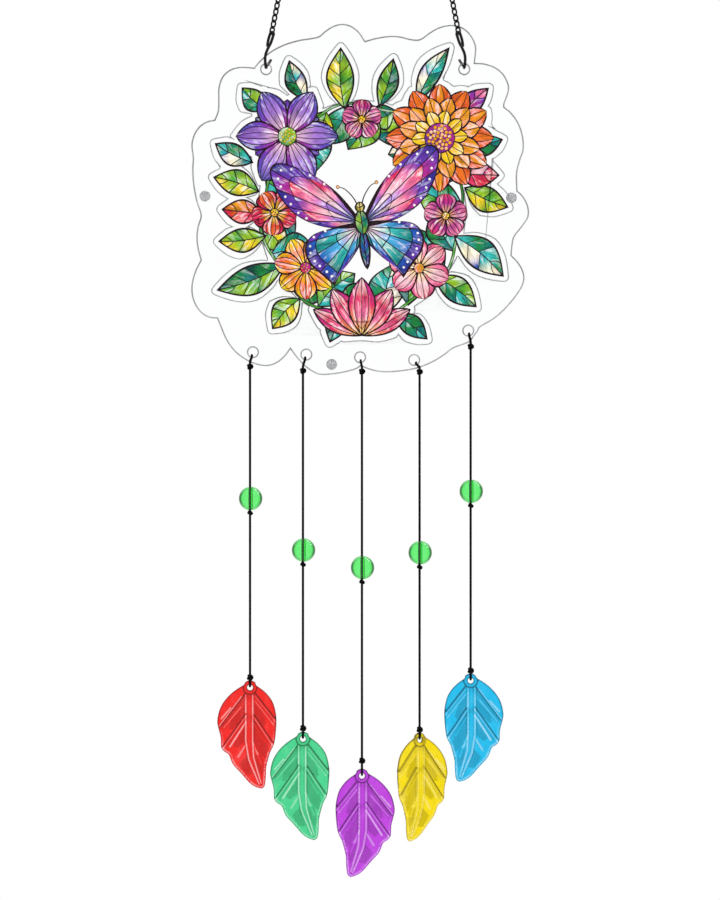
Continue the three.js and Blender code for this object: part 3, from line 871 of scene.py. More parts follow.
@dataclass(frozen=True)
class TintedPlastic:
    """Clear coloured plastic, cast in a mould or turned, with painted light and shade where asked."""

    name: str
    colour: Colour
    transmission: float = 0.8
    roughness: float = 0.08
    depth: float = 0.12
    haze: float = 0.05
    scale: float = 90.0
    # Whether the mesh's painted light and shade goes into the colour.
    relief_light_painted: bool = False
    # Whether a ball gets painted shade at its left and right rims, from rim_inner to rim_outer facing.
    rim_shade_painted: bool = False
    rim_inner: float = 0.25
    rim_outer: float = 0.5
    ior: float = 1.49
    grain: float = 0.22
    coat: float = 0.18

    def shade_colour(self, share: float, power: float) -> tuple[float, float, float, float]:
        """Give the deep colour that painted shade darkens the plastic towards."""
        return opaque(tuple(share * c**power for c in self.colour))

    def paint_relief_light(self, tree: Tree, shade: Socket) -> Socket:
        """Paint shade into the colour where the mesh's painted light and shade is below 0, and a painted
        highlight towards white where it is above.

        Args:
            tree: The material's tree.
            shade: The plain colour.

        Returns:
            The colour with its painted light and shade.
        """
        # Painted shade below 0, painted highlight towards white above 0.
        painted_light_shade = tree.add("ShaderNodeAttribute", attribute_name="painted_light_shade").outputs["Fac"]
        deep = tree.maths("MULTIPLY", painted_light_shade, -0.95, clamp=True)
        pale = tree.maths("MULTIPLY", painted_light_shade, 0.62, clamp=True)
        return tree.blend(pale, tree.blend(deep, shade, self.shade_colour(0.16, 1.4)), WHITE)

    def paint_rim_shade(self, tree: Tree, shade: Socket) -> Socket:
        """Paint shade into a ball's colour towards its left and right edges, as it is seen.

        Args:
            tree: The material's tree.
            shade: The plain colour.

        Returns:
            The colour with its painted rim shade.
        """
        # Painted shade: rims that face away and lie beside the ball, not above or below it, darken.
        facing = tree.add("ShaderNodeLayerWeight", {"Blend": 0.5}).outputs["Facing"]
        span = {1: self.rim_inner, 2: self.rim_outer, 3: 0.0, 4: 1.0}
        edge = tree.add("ShaderNodeMapRange", {0: facing, **span})
        edge.interpolation_type = "SMOOTHSTEP"
        normal = tree.add("ShaderNodeTexCoord").outputs["Normal"]
        up = tree.add("ShaderNodeSeparateXYZ", {0: normal}).outputs[2]
        beside = tree.maths("SUBTRACT", 1.0, tree.maths("ABSOLUTE", up), clamp=True)
        beside = tree.maths("MULTIPLY", beside, 1.6, clamp=True)
        return tree.blend(tree.maths("MULTIPLY", edge.outputs[0], beside), shade, self.shade_colour(0.07, 1.8))

    def material(self) -> Material:
        """Build the material."""
        made = Painter(
            self.name,
            Transmission_Weight=self.transmission,
            IOR=self.ior,
            Coat_Weight=self.coat,
            Coat_Roughness=0.05,
        )
        streaks = made.streaks(self.colour, Scale=self.scale, Stretch=0.6, Depth=self.depth, Haze=self.haze)
        shade = streaks.outputs["Colour"]
        # Paint the relief's light and shade into the colour.
        if self.relief_light_painted:
            shade = self.paint_relief_light(made.tree, shade)
        # Paint shade into a ball's left and right rims.
        if self.rim_shade_painted:
            shade = self.paint_rim_shade(made.tree, shade)
        return made.finish(shade, (520.0, self.roughness, 0.06), self.grain, 0.06 * MM)


@dataclass(frozen=True)
class FrostedBumper:
    """Soft clear plastic, cloudy from its swirled face."""

    name: str = "frosted_bumper"
    colour: Colour = (0.74, 0.75, 0.77)

    def material(self) -> Material:
        """Build the material."""
        made = Painter(self.name, Transmission_Weight=0.45, IOR=1.45, Roughness=0.35)
        streaks = made.streaks(self.colour, Scale=480.0, Stretch=1.0, Depth=0.9, Haze=0.8)
        made.feed("Base Color", streaks.outputs["Colour"])
        made.bump(streaks.outputs["Mask"], 0.6, 0.3 * MM)
        return made.material


@dataclass(frozen=True)
class BlackWire:
    """Black coated steel wire, rubbed a little."""

    name: str = "black_wire"
    paint: Colour = (0.004, 0.004, 0.005)
    worn: Colour = (0.05, 0.05, 0.055)
    amount: float = 0.35

    def material(self) -> Material:
        """Build the material."""
        gloss = {"Specular_IOR_Level": 0.18, "Coat_Weight": 0.06, "Coat_Roughness": 0.15}
        made = Painter(self.name, Metallic=0.15, **gloss)
        paints = {"Paint Colour": opaque(self.paint), "Worn Colour": opaque(self.worn)}
        wear = made.effect(Effect.WEAR, {**paints, "Amount": self.amount})
        return made.finish(wear.outputs["Colour"], (2600.0, 0.34, 0.25), 0.3, 0.03 * MM)


@dataclass(frozen=True)
class WaxedCord:
    """Black waxed cord of crossing strands, with painted shade in the valleys between them."""

    name: str = "waxed_cord"
    # The darker black painted as shade in the valleys, and the lighter black of the crests.
    shaded_valley: Colour = (0.0006, 0.0006, 0.0006)
    lit_crest: Colour = (0.002, 0.002, 0.002)

    def material(self) -> Material:
        """Build the material."""
        made = Painter(self.name, Specular_IOR_Level=0.06)
        braid = made.effect(Effect.BRAID)
        # Painted shade: the valleys take the darker black.
        shade = made.tree.blend(braid.outputs["Painted Shade"], opaque(self.shaded_valley), opaque(self.lit_crest))
        return made.finish(shade, (3000.0, 0.58, 0.25), 0.07, 0.08 * MM, braid.outputs["Height"])


@dataclass(frozen=True)
class PaleFloor:
    """Plain pale matt floor."""

    name: str = "pale_floor"
    colour: Colour = (0.8, 0.8, 0.8)

    def material(self) -> Material:
        """Build the material."""
        made = Painter(self.name, Roughness=0.7)
        made.feed("Base Color", made.streaks(self.colour, Scale=3.0, Depth=0.03, Haze=0.0).outputs["Colour"])
        return made.material


# Stage


@dataclass
class Stage:
    """Camera, soft studio light, white surroundings and a pale floor."""

    lens: float = 135.0
    distance: float = 1.9965
    aim: Point2 = (-3.05 * MM, -527.8 * MM)
    floor_radius: float = 1.2
    floor_drop: float = 0.25
    floor_sides: int = 96
    side_grey: tuple[float, float, float, float] = (0.25, 0.25, 0.26, 1)

    def camera(self) -> Piece:
        """Place the camera square to the panel, as the photograph was taken."""
        data = bpy.data.cameras.new("camera")
        data.lens, data.sensor_width, data.clip_start = self.lens, 36.0, 0.01
        made = linked(bpy.data.objects.new("camera", data))
        made.location = (self.aim[0], -self.distance, self.aim[1])
        made.rotation_euler = (math.pi / 2, 0, 0)
        bpy.context.scene.camera = made
        return made

    def light(
        self, name: str, place: Point3, size: Point2, watts: float, spin: float | None = None
    ) -> None:
        """Hang an area light that faces the object's middle.

        Args:
            name: The light's name.
            place: Where it hangs.
            size: The sides of its rectangle.
            watts: Its power.
            spin: Its turn about the way it faces, in degrees, for a light that shines in reflections.
        """
        data = bpy.data.lights.new(name, "AREA")
        data.shape = "RECTANGLE"
        (data.size, data.size_y), data.energy = size, watts
        made = linked(bpy.data.objects.new(name, data))
        made.location = place
        aim = Vector((self.aim[0], 0, self.aim[1])) - Vector(place)
        turn = aim.to_track_quat("-Z", "Y") @ Quaternion((0, 0, 1), math.radians(spin or 0))
        made.visible_camera = made.visible_transmission = False
        made.visible_glossy = spin is not None
        made.rotation_euler = turn.to_euler()

    def world(self) -> None:
        """Surround the object with white that greys to its left and right."""
        made = bpy.data.worlds.new("studio")
        made.use_nodes = True
        tree = Tree(made.node_tree)
        parts = tree.add("ShaderNodeSeparateXYZ", {0: tree.add("ShaderNodeTexCoord").outputs["Generated"]})
        aside = tree.maths("MULTIPLY", parts.outputs[0], parts.outputs[0])
        facing = tree.maths("SQRT", tree.maths("SUBTRACT", 1.0, aside, clamp=True))
        ramp = tree.add("ShaderNodeMapRange", {0: facing, 1: 0.4, 2: 0.9, 3: 0.0, 4: 1.0})
        ramp.interpolation_type = "SMOOTHSTEP"
        seen = tree.blend(ramp.outputs[0], self.side_grey, WHITE)
        direct = tree.add("ShaderNodeLightPath").outputs["Is Camera Ray"]
        background = made.node_tree.nodes["Background"]
        tree.join(tree.blend(direct, seen, WHITE), background.inputs["Color"])
        bpy.context.scene.world = made

    def floor(self) -> None:
        """Lay the floor below the lowest leaf."""
        height = CAD_BOX[0].z - self.floor_drop
        rim = circle((self.aim[0], 0.0), self.floor_radius, self.floor_sides)
        points = [(x, y, height) for x, y in rim]
        made = mesh_object("floor", points, [range(self.floor_sides)], PaleFloor().material())

    def build(self) -> None:
        """Set the whole stage."""
        self.world()
        self.light("key_light", (-0.9, -1.7, 0.2), (0.9, 0.9), 16.0)
        self.light("fill_light", (1.1, -1.3, -0.7), (0.8, 0.8), 7.0)
        self.light("rim_light", (0.92, 0.52, 0.53), (1.25, 0.36), 11.0, 45)
        self.floor()
        bpy.context.scene.view_settings.view_transform = "Standard"


# The panel


def settle(made: Piece, slot: str, *nodes: str) -> Piece:
    """Let a piece ride with the chime and stand for its nodes.

    Args:
        made: The piece.
        slot: The record's material slot; not used.
        nodes: The nodes it stands for.

    Returns:
        The piece.
    """
    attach(made, BODY)
    if nodes:
        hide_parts(*nodes)
    log.info("made %s with %d faces", made.name, len(made.data.polygons))
    return made


@dataclass
class Panel:
    """The clear panel, the plate on its front and the bumper pads on its back."""

    hole_radius: float = 2.75 * MM
    edge: float = 0.85 * MM
    plate_edge: float = 0.7 * MM
    pad_radius: float = 3.2 * MM
    pad_height: float = 1.5 * MM
    pad_foot: float = 0.12
    pad_steps: int = 8
    outlines: list[list[Vector]] = field(default_factory=lambda: node_outlines("clear_panel"))

    def holes(self) -> list[Vector]:
        """Give the middles of the panel's holes, the two highest first."""
        middles = [sum(o, Vector((0, 0))) / len(o) for o in self.outlines[1:]]
        return sorted(middles, key=lambda m: -m.y)

    def datum(self) -> Vector:
        """Give the place midway between the two hanging holes, in x and z."""
        left, right = self.holes()[:2]
        return (left + right) / 2

    def panel(self) -> Piece:
        """Make the scalloped panel with its round-edged holes."""
        low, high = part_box("clear_panel")
        rims = [[Vector(p) for p in circle(tuple(m), self.hole_radius, 48)] for m in self.holes()]
        outlines = [catmull(self.outlines[0], 4, True, 0.62), *rims]
        material = ClearAcrylic().material()
        made = sheet_object("scalloped_panel", outlines, low.y, high.y, self.edge, material)
        # The panel's edge takes the dark grey painted shade.
        self.cut(made, CutEdge().material())
        return settle(made, "clear_acrylic", "clear_panel")

    def cut(self, made: Piece, material: Material) -> None:
        """Give the faces along a sheet's edges the cut finish.

        Args:
            made: The sheet.
            material: The cut finish.
        """
        made.data.materials.append(material)
        for face in made.data.polygons:
            if abs(face.normal.y) < 0.99:
                face.material_index = 1

    def plate(self) -> Piece:
        """Make the plate that carries the print."""
        low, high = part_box("printed_plate")
        outlines = [catmull(o, 3, True, 0.75) for o in node_outlines("printed_plate")]
        material = ClearAcrylic("plate_acrylic").material()
        made = sheet_object("print_plate", outlines, low.y, high.y, self.plate_edge, material)
        # The plate's edge takes a paler grey painted shade.
        self.cut(made, CutEdge("plate_cut_edge", (0.38, 0.39, 0.41)).material())
        settle(made, "printed_acrylic", "printed_plate")
        film = Print().build(self.datum(), low.y - 0.01 * MM, SeeThroughInk().material())
        return settle(film, "printed_acrylic")

    def pads(self) -> None:
        """Make the three soft bumper pads."""
        material = FrostedBumper().material()
        foot = self.pad_height * self.pad_foot
        profile = [(0, 0), (self.pad_radius * 0.94, 0), (self.pad_radius, foot)]
        for step in range(1, self.pad_steps):
            angle = step / self.pad_steps * math.pi / 2
            height = foot + (self.pad_height - foot) * math.sin(angle)
            profile.append((self.pad_radius * math.cos(angle) ** 0.7, height))
        profile.append((0, self.pad_height))
        for side in ("left", "right", "bottom"):
            low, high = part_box(f"bumper_pad_{side}")
            place = Vector(((low.x + high.x) / 2, low.y, (low.z + high.z) / 2))
            made = lathe_object(f"soft_bumper_{side}", profile, 40, place, material, "Y")
            settle(made, "clear_bumper", f"bumper_pad_{side}")

    def build(self) -> None:
        """Make every piece of the panel."""
        self.panel()
        self.plate()
        self.pads()


# The printed picture


INK_DEPTH = 2.05
PICTURE_EDGE = 1.2
PICTURE_LINE = 0.62
PICTURE_GRID = 1.4


class Ink(Enum):
    """The print's inks, as they are seen."""

    LINE = "2c1622"
    YELLOW = "fbe02f"
    GOLD = "f9b52c"
    ORANGE = "f4842a"
    RED = "e02c38"
    ROSE = "ea3f78"
    PINK = "f687b4"
    BLUSH = "fcd5dc"
    MAGENTA = "c636a2"
    LILAC = "b98be0"
    VIOLET = "8149c4"
    INDIGO = "3f3aa2"
    BLUE = "2468c6"
    SKY = "5cc4ee"
    AQUA = "42cbc6"
    TEAL = "0f8b88"
    DEEP = "0d5f55"
    GREEN = "2aa04e"
    LEAF = "62ba3c"
    LIME = "add438"
    CREAM = "fdf3d8"
    WHITE = "fdf9f6"

    def linear(self) -> Colour:
        """Give the ink in linear light, deepened a little for the light behind it."""
        return tuple(c**INK_DEPTH for c in from_hex(self.value))


@dataclass(frozen=True)
class Patch:
    """One patch of ink, with a run of inks across it and the way its strokes flow.

    Its outline, start and end are in mm about the datum.
    """

    outline: tuple[Point2, ...]
    inks: tuple[Ink, ...]
    start: Point2
    end: Point2
    seed: float

    def colour(self, p: Point2) -> Colour:
        """Give the ink's colour at a point.

        Args:
            p: The point, in mm about the datum.

        Returns:
            The colour in linear light.
        """
        if len(self.inks) == 1:
            return self.inks[0].linear()
        dx, dy = self.end[0] - self.start[0], self.end[1] - self.start[1]
        share = ((p[0] - self.start[0]) * dx + (p[1] - self.start[1]) * dy) / (dx * dx + dy * dy)
        place = min(0.9999, max(0.0, share)) * (len(self.inks) - 1)
        step = int(place)
        return mix(self.inks[step].linear(), self.inks[step + 1].linear(), place - step)

    def flow(self) -> Point3:
        """Give the strokes' direction and seed, each between 0 and 1."""
        run = Vector(self.end) - Vector(self.start)
        run = run.normalized() if run.length else Vector((0, 1))
        return (run.x * 0.5 + 0.5, run.y * 0.5 + 0.5, self.seed)


class Picture:
    """The print as patches laid over each other, later ones on top, in mm about the datum."""

    def __init__(self, edge: float, line: float) -> None:
        """Start an empty picture.

        Args:
            edge: The width of the line round each figure, in mm.
            line: The width of the lines inside figures, in mm.
        """
        self.edge, self.line = edge, line
        self.closest, self.least = 0.04, 0.25
        self.patches: list[Patch] = []
        self.rng = random.Random(11)

    def lay(self, outline: Sequence[Point2], inks: Sequence[Ink], start: Point2, end: Point2) -> None:
        """Lay one patch.

        Args:
            outline: Its outline.
            inks: The inks from start to end.
            start: Where the first ink is pure.
            end: Where the last one is.
        """
        apart = [p for i, p in enumerate(outline) if math.dist(p, outline[i - 1]) > self.closest]
        kept = untangled(apart)
        if len(kept) < 3 or abs(signed_area(kept)) < self.least:
            return
        if signed_area(kept) < 0:
            kept.reverse()
        self.patches.append(Patch(tuple(kept), tuple(inks), start, end, self.rng.random()))

    def lead(self, outline: Sequence[Point2]) -> None:
        """Lay a patch of the line's colour."""
        self.lay(outline, (Ink.LINE,), (0, 0), (0, 1))

    def dot(self, middle: Point2, radius: float, inks: Sequence[Ink], rim: float = 0.0) -> None:
        """Lay a round spot.

        Args:
            middle: Its middle.
            radius: Its radius without the rim.
            inks: Its inks, from the upper right to the lower left.
            rim: The width of a rim of the line's colour.
        """
        if rim:
            self.lead(circle(middle, radius + rim, 14))
        top = (middle[0] + radius * 0.7, middle[1] + radius * 0.7)
        low = (middle[0] - radius * 0.7, middle[1] - radius * 0.7)
        self.lay(circle(middle, radius, 12), inks, top, low)

    def stroke(self, points: Sequence[Point2], first: float, last: float, inks: Sequence[Ink]) -> None:
        """Lay a tapering line through points.

        Args:
            points: The points it passes.
            first: Its width at the start.
            last: Its width at the end.
            inks: Its inks from start to end.
        """
        path = catmull([Vector(p) for p in points], 5, False)
        left, right = [], []
        for i, p in enumerate(path):
            run = (path[min(i + 1, len(path) - 1)] - path[max(i - 1, 0)]).normalized()
            half = (first + (last - first) * i / (len(path) - 1)) / 2
            left.append((p.x - run.y * half, p.y + run.x * half))
            right.append((p.x + run.y * half, p.y - run.x * half))
        self.lay(left + right[::-1], inks, tuple(path[0]), tuple(path[-1]))

    def film(self, datum: Vector, depth: float, grid: float, material: Material) -> Piece:
        """Turn the picture into one flat film whose corners carry the inks.

        Args:
            datum: The place of the picture's origin, in x and z.
            depth: The film's depth.
            grid: The step of the points between the outlines, in mm.
            material: The ink.

        Returns:
            The film.
        """
        flat: list[Point2] = []
        faces = []
        for patch in self.patches:
            faces.append(list(range(len(flat), len(flat) + len(patch.outline))))
            flat += patch.outline
        flat += staggered(flat, grid)
        made = delaunay_2d_cdt([Vector(p) for p in flat], [], faces, 1, 1e-4)
        points = [tuple(p) for p in made[0]]
        solid = [(face, max(owners)) for face, owners in zip(made[2], made[5]) if owners]
        places = [(datum.x + x * MM, depth, datum.y + z * MM) for x, z in points]
        mesh = bpy.data.meshes.new("ink_film")
        mesh.from_pydata(places, [], [tuple(face) for face, _ in solid])
        inks = mesh.attributes.new("ink", "FLOAT_COLOR", "CORNER")
        flows = mesh.attributes.new("flow", "FLOAT_COLOR", "CORNER")
        colours: list[float] = []
        ways: list[float] = []
        for face, owner in solid:
            patch = self.patches[owner]
            way = patch.flow()
            for v in face:
                colours += (*patch.colour(points[v]), 1.0)
                ways += (*way, 1.0)
        inks.data.foreach_set("color", colours)
        flows.data.foreach_set("color", ways)
        mesh.materials.append(material)
        return linked(bpy.data.objects.new("ink_film", mesh))


@dataclass(frozen=True)
class Blade:
    """A leaf or petal between its base and tip, in mm about the datum."""

    base: Point2
    tip: Point2
    width: float
    bend: float = 0.0
    peak: float = 1.0
    blunt: float = 1.0
    samples: int = 60
    narrowest: float = 0.12

    def half(self, t: float) -> float:
        """Give half its width at a share of its length."""
        return self.width / 2 * max(0.0, math.sin(math.pi * t**self.peak)) ** self.blunt

    def point(self, t: float, side: float) -> Point2:
        """Give a point of the blade.

        Args:
            t: Its share of the length.
            side: Its offset from the middle line, in mm.

        Returns:
            The point, in mm about the datum.
        """
        dx, dy = self.tip[0] - self.base[0], self.tip[1] - self.base[1]
        length = math.hypot(dx, dy)
        off = side + self.bend * math.sin(math.pi * t)
        return (self.base[0] + dx * t - dy / length * off, self.base[1] + dy * t + dx / length * off)

    def outline(self) -> list[Point2]:
        """Give the whole outline."""
        steps = [i / 18 for i in range(19)]
        left = [self.point(t, self.half(t)) for t in steps]
        right = [self.point(t, -self.half(t)) for t in reversed(steps)]
        return left + right[1:-1]

    def patch(self, run: Point2, sides: Point2, slant: float, edge: float, line: float) -> list[Point2]:
        """Outline the patch between two veins, drawn in by the lines round it.

        Args:
            run: The shares of the length where its veins leave the middle line.
            sides: Its two sides as shares of the half width, -1 to 1.
            slant: How far the veins rise on their way to the edge.
            edge: The width of the line along the edge.
            line: The width of the lines inside.

        Returns:
            The patch's outline, or an empty list when there is no room for it.
        """
        in_low = edge if sides[0] == -1 else line / 2
        in_high = edge if sides[1] == 1 else line / 2
        share = min(line / 2 / math.dist(self.base, self.tip), 0.4 * (run[1] - run[0]))

        def limits(t: float) -> Point2:
            """Give the patch's two edges at a share of the length, in mm from the middle line."""
            low, high = sides[0] * self.half(t) + in_low, sides[1] * self.half(t) - in_high
            return (low, high) if low < high else ((low + high) / 2,) * 2

        shares = [i / self.samples for i in range(self.samples + 1)]
        room = [t for t in shares if limits(t)[1] - limits(t)[0] > self.narrowest]
        if not room:
            return []

        def place(along: float, across: float) -> Point2:
            """Give a point of the patch.

            Args:
                along: Its share of the way from the lower vein to the upper one.
                across: Its share of the way from the first side to the second.

            Returns:
                The point, in mm about the datum.
            """
            rise = slant * abs(sides[0] + (sides[1] - sides[0]) * across)
            first = run[0] + share + rise
            last = run[1] - share + rise
            t = min(room[-1], max(room[0], first + (last - first) * along))
            low, high = limits(t)
            return self.point(t, low + (high - low) * across)

        ring = [place(0, k / 5) for k in range(5)] + [place(k / 8, 1) for k in range(8)]
        ring += [place(1, 1 - k / 5) for k in range(5)] + [place(1 - k / 8, 0) for k in range(8)]
        return ring

    def draw_leaf(self, picture: Picture, first: Sequence[Ink], second: Sequence[Ink], veins: int) -> None:
        """Draw it as a leaf, with side veins and a run of inks on each half.

        Args:
            picture: Where it goes.
            first: The inks of one half, from the base to the tip.
            second: The inks of the other.
            veins: How many patches each half has.
        """
        picture.lead(self.outline())
        for inks, sides in ((first, (0.0, 1.0)), (second, (-1.0, 0.0))):
            for k in range(veins):
                shift = 0.035 if sides[0] else 0.0
                low = (k / veins * 0.92 + shift) if k else -0.3
                high = ((k + 1) / veins * 0.92 + shift) if k < veins - 1 else 1.3
                ring = self.patch((low, high), sides, 0.13, picture.edge, picture.line)
                turned = list(inks) if k % 2 == 0 else [*inks[1:], inks[0]]
                middle = self.point(max(0.0, (k - 0.3) / veins), 0)
                out = self.half(min(0.9, (k + 0.8) / veins)) * (1 if sides[1] else -1)
                picture.lay(ring, turned, middle, self.point(min(1.0, (k + 1.1) / veins), out))

    def draw_petal(self, picture: Picture, inks: Sequence[Ink], flank: Sequence[Ink], strips: int) -> None:
        """Draw it as a petal, with veins along it.

        Args:
            picture: Where it goes.
            inks: The inks of its middle, from the base to the tip.
            flank: The inks of its sides.
            strips: How many strips its veins make.
        """
        picture.lead(self.outline())
        for k in range(strips):
            sides = (2 * k / strips - 1, 2 * (k + 1) / strips - 1)
            outer = k in (0, strips - 1) and strips > 1
            ring = self.patch((-0.1, 1.1), sides, 0.0, picture.edge * 0.8, picture.line * 0.8)
            picture.lay(ring, flank if outer else inks, self.base, self.tip)


@dataclass(frozen=True)
class PetalRing:
    """One ring of a flower's petals, with sizes as shares of the flower's radius."""

    count: int
    reach: float
    width: float
    turn: float
    inks: tuple[Ink, ...]
    flank: tuple[Ink, ...]
    start: float = 0.06
    strips: int = 3
    peak: float = 1.5
    blunt: float = 0.65


@dataclass(frozen=True)
class Flower:
    """A round flower of rings of petals about a centre, in mm about the datum."""

    middle: Point2
    radius: float
    rings: tuple[PetalRing, ...]
    heart: float
    heart_inks: tuple[Ink, ...]
    seeds: int
    seed_ink: Ink

    def at(self, angle: float, reach: float) -> Point2:
        """Give the point at an angle in degrees and a share of the radius."""
        turn = math.radians(angle)
        return (
            self.middle[0] + self.radius * reach * math.cos(turn),
            self.middle[1] + self.radius * reach * math.sin(turn),
        )

    def draw(self, picture: Picture) -> None:
        """Draw it from its outermost ring to its centre.

        Args:
            picture: Where it goes.
        """
        for ring in self.rings:
            order = [*range(0, ring.count, 2), *range(1, ring.count, 2)]
            for k in order:
                angle = ring.turn + 360 * k / ring.count
                blade = Blade(
                    self.at(angle, ring.start),
                    self.at(angle, ring.reach),
                    self.radius * ring.width,
                    self.radius * 0.012 * (-1) ** k,
                    ring.peak,
                    ring.blunt,
                )
                inks = ring.inks if k % 2 else (*ring.inks[:-1], ring.flank[-1])
                blade.draw_petal(picture, inks, ring.flank, ring.strips)
        size = self.radius * self.heart
        picture.dot(self.middle, size, self.heart_inks, 0.5)
        for k in range(self.seeds):
            spin = 137.5 * k
            reach = self.heart * 0.86 * math.sqrt((k + 0.5) / self.seeds)
            picture.dot(self.at(spin, reach), size * 0.11, (self.seed_ink,), 0.18)


@dataclass(frozen=True)
class Butterfly:
    """A butterfly with spread wings, set out about its body in units of its own."""

    middle: Point2
    unit: float
    turn: float = 7.0
    fore: tuple[Point2, ...] = (
        (1, 2), (7, 11), (15, 18), (23.5, 22), (27, 20), (26, 14), (23, 8), (18, 3), (10, -0.5), (1, -1),
    )
    hind: tuple[Point2, ...] = (
        (1, 0), (9, -0.5), (16, -2), (19, -6), (18, -11), (14.5, -15), (11, -19), (8.5, -15), (4.5, -11),
        (1, -6),
    )

    def at(self, p: Point2, side: int) -> Point2:
        """Give the place of a point on a wing.

        Args:
            p: The point on the right wing, in the butterfly's own units.
            side: 1 for the right wing, -1 for the left.

        Returns:
            The place, in mm about the datum.
        """
        turn = math.radians(self.turn)
        x, y = p[0] * side, p[1]
        return (
            self.middle[0] + self.unit * (x * math.cos(turn) - y * math.sin(turn)),
            self.middle[1] + self.unit * (x * math.sin(turn) + y * math.cos(turn)),
        )

    @staticmethod
    def reach(outline: Sequence[Point2], root: Point2, angle: float) -> float:
        """Measure a wing from the root of its veins.

        Args:
            outline: The wing's outline.
            root: Where its veins start.
            angle: The way to measure, in radians.

        Returns:
            How far the outline lies that way.
        """
        far = 0.0
        dx, dy = math.cos(angle), math.sin(angle)
        for i, b in enumerate(outline):
            a = outline[i - 1]
            ex, ey = b[0] - a[0], b[1] - a[1]
            cross = dx * ey - dy * ex
            if abs(cross) < 1e-9:
                continue
            t = ((a[0] - root[0]) * ey - (a[1] - root[1]) * ex) / cross
            u = ((a[0] - root[0]) * dy - (a[1] - root[1]) * dx) / cross
            if t > 0 and -1e-9 <= u <= 1:
                far = max(far, t)
        return far

    def wing(
        self,
        picture: Picture,
        edge: Sequence[Point2],
        root: Point2,
        spokes: Sequence[float],
        bands: Sequence[tuple[Point2, tuple[Ink, ...], tuple[Ink, ...]]],
    ) -> None:
        """Draw one pair of wings.

        Args:
            picture: Where they go.
            edge: The right wing's outline.
            root: Where its veins start.
            spokes: The veins' angles in degrees.
            bands: For each band, its range of the reach and the inks of its odd and even patches.
        """
        outline = [tuple(p) for p in catmull([Vector(p) for p in edge], 6, True, 1.3)]
        line = picture.line / self.unit / 2
        rim = picture.edge / self.unit
        for side in (1, -1):
            picture.lead([self.at(p, side) for p in outline])
            for n, (low, high) in enumerate(zip(spokes, spokes[1:])):
                for (inner, outer), odd, even in bands:

                    def place(u: float, v: float) -> Point2:
                        """Give a point of the patch in the butterfly's units.

                        Args:
                            u: Its share of the way from the first vein to the second.
                            v: Its share of the way outwards.

                        Returns:
                            The point.
                        """
                        angle = math.radians(low + (high - low) * u)
                        reach = self.reach(outline, root, angle)
                        near = max(inner * reach, 0.9) + line
                        far = max(near, outer * reach - (rim if outer == 1 else line))
                        away = near + (far - near) * v
                        slip = min(line / away, 0.42 * math.radians(high - low))
                        angle += slip * (1 - 2 * u)
                        return (root[0] + away * math.cos(angle), root[1] + away * math.sin(angle))

                    steps = [k / 5 for k in range(5)]
                    ring = [place(s, 0) for s in steps] + [place(1, s) for s in steps]
                    ring += [place(1 - s, 1) for s in steps] + [place(0, 1 - s) for s in steps]
                    inks = odd if n % 2 else even
                    start, end = self.at(place(0.5, 0), side), self.at(place(0.5, 1), side)
                    picture.lay([self.at(p, side) for p in ring], inks, start, end)
                    if outer == 1 and math.dist(place(0.5, 0), place(0.5, 1)) > 2:
                        for u in (0.27, 0.73):
                            picture.dot(self.at(place(u, 0.62), side), 0.75, (Ink.WHITE,))

    def draw(self, picture: Picture) -> None:
        """Draw the hind wings, the fore wings, the body and the feelers.

        Args:
            picture: Where it goes.
        """
        self.wing(
            picture,
            self.hind,
            (1, -1.5),
            (-91, -74, -58, -42, -25, -9, 6),
            (
                ((0, 0.42), (Ink.BLUSH, Ink.SKY), (Ink.WHITE, Ink.AQUA)),
                ((0.42, 0.8), (Ink.SKY, Ink.BLUE), (Ink.AQUA, Ink.TEAL)),
                ((0.8, 1), (Ink.INDIGO, Ink.VIOLET), (Ink.BLUE, Ink.INDIGO)),
            ),
        )
        self.wing(
            picture,
            self.fore,
            (1, 0.3),
            (-5, 8, 19, 29, 38, 48, 58),
            (
                ((0, 0.36), (Ink.BLUE, Ink.LILAC), (Ink.SKY, Ink.BLUSH)),
                ((0.36, 0.78), (Ink.LILAC, Ink.PINK, Ink.ROSE), (Ink.BLUSH, Ink.PINK, Ink.VIOLET)),
                ((0.78, 1), (Ink.MAGENTA, Ink.VIOLET), (Ink.VIOLET, Ink.INDIGO)),
            ),
        )
        for side in (1, -1):
            feeler = [self.at(p, side) for p in ((0.4, 4.6), (1.6, 8), (4, 11.2), (6.2, 12.2))]
            picture.stroke(feeler, 0.8, 0.45, (Ink.LINE,))
            picture.dot(feeler[-1], 0.8, (Ink.GOLD,), 0.35)
        parts = (
            ((0, -15), (0, -1), 3.6, (Ink.INDIGO, Ink.BLUE, Ink.TEAL)),
            ((0, -4), (0, 4.4), 5.0, (Ink.TEAL, Ink.GREEN, Ink.LIME)),
            ((0, 3.2), (0, 6.8), 3.4, (Ink.GREEN, Ink.YELLOW)),
        )
        for low, high, width, inks in parts:
            blade = Blade(self.at(low, 1), self.at(high, 1), width * self.unit, 0, 1.0, 0.6)
            blade.draw_leaf(picture, inks, inks[::-1], 5 if high[1] < 0 else 2)


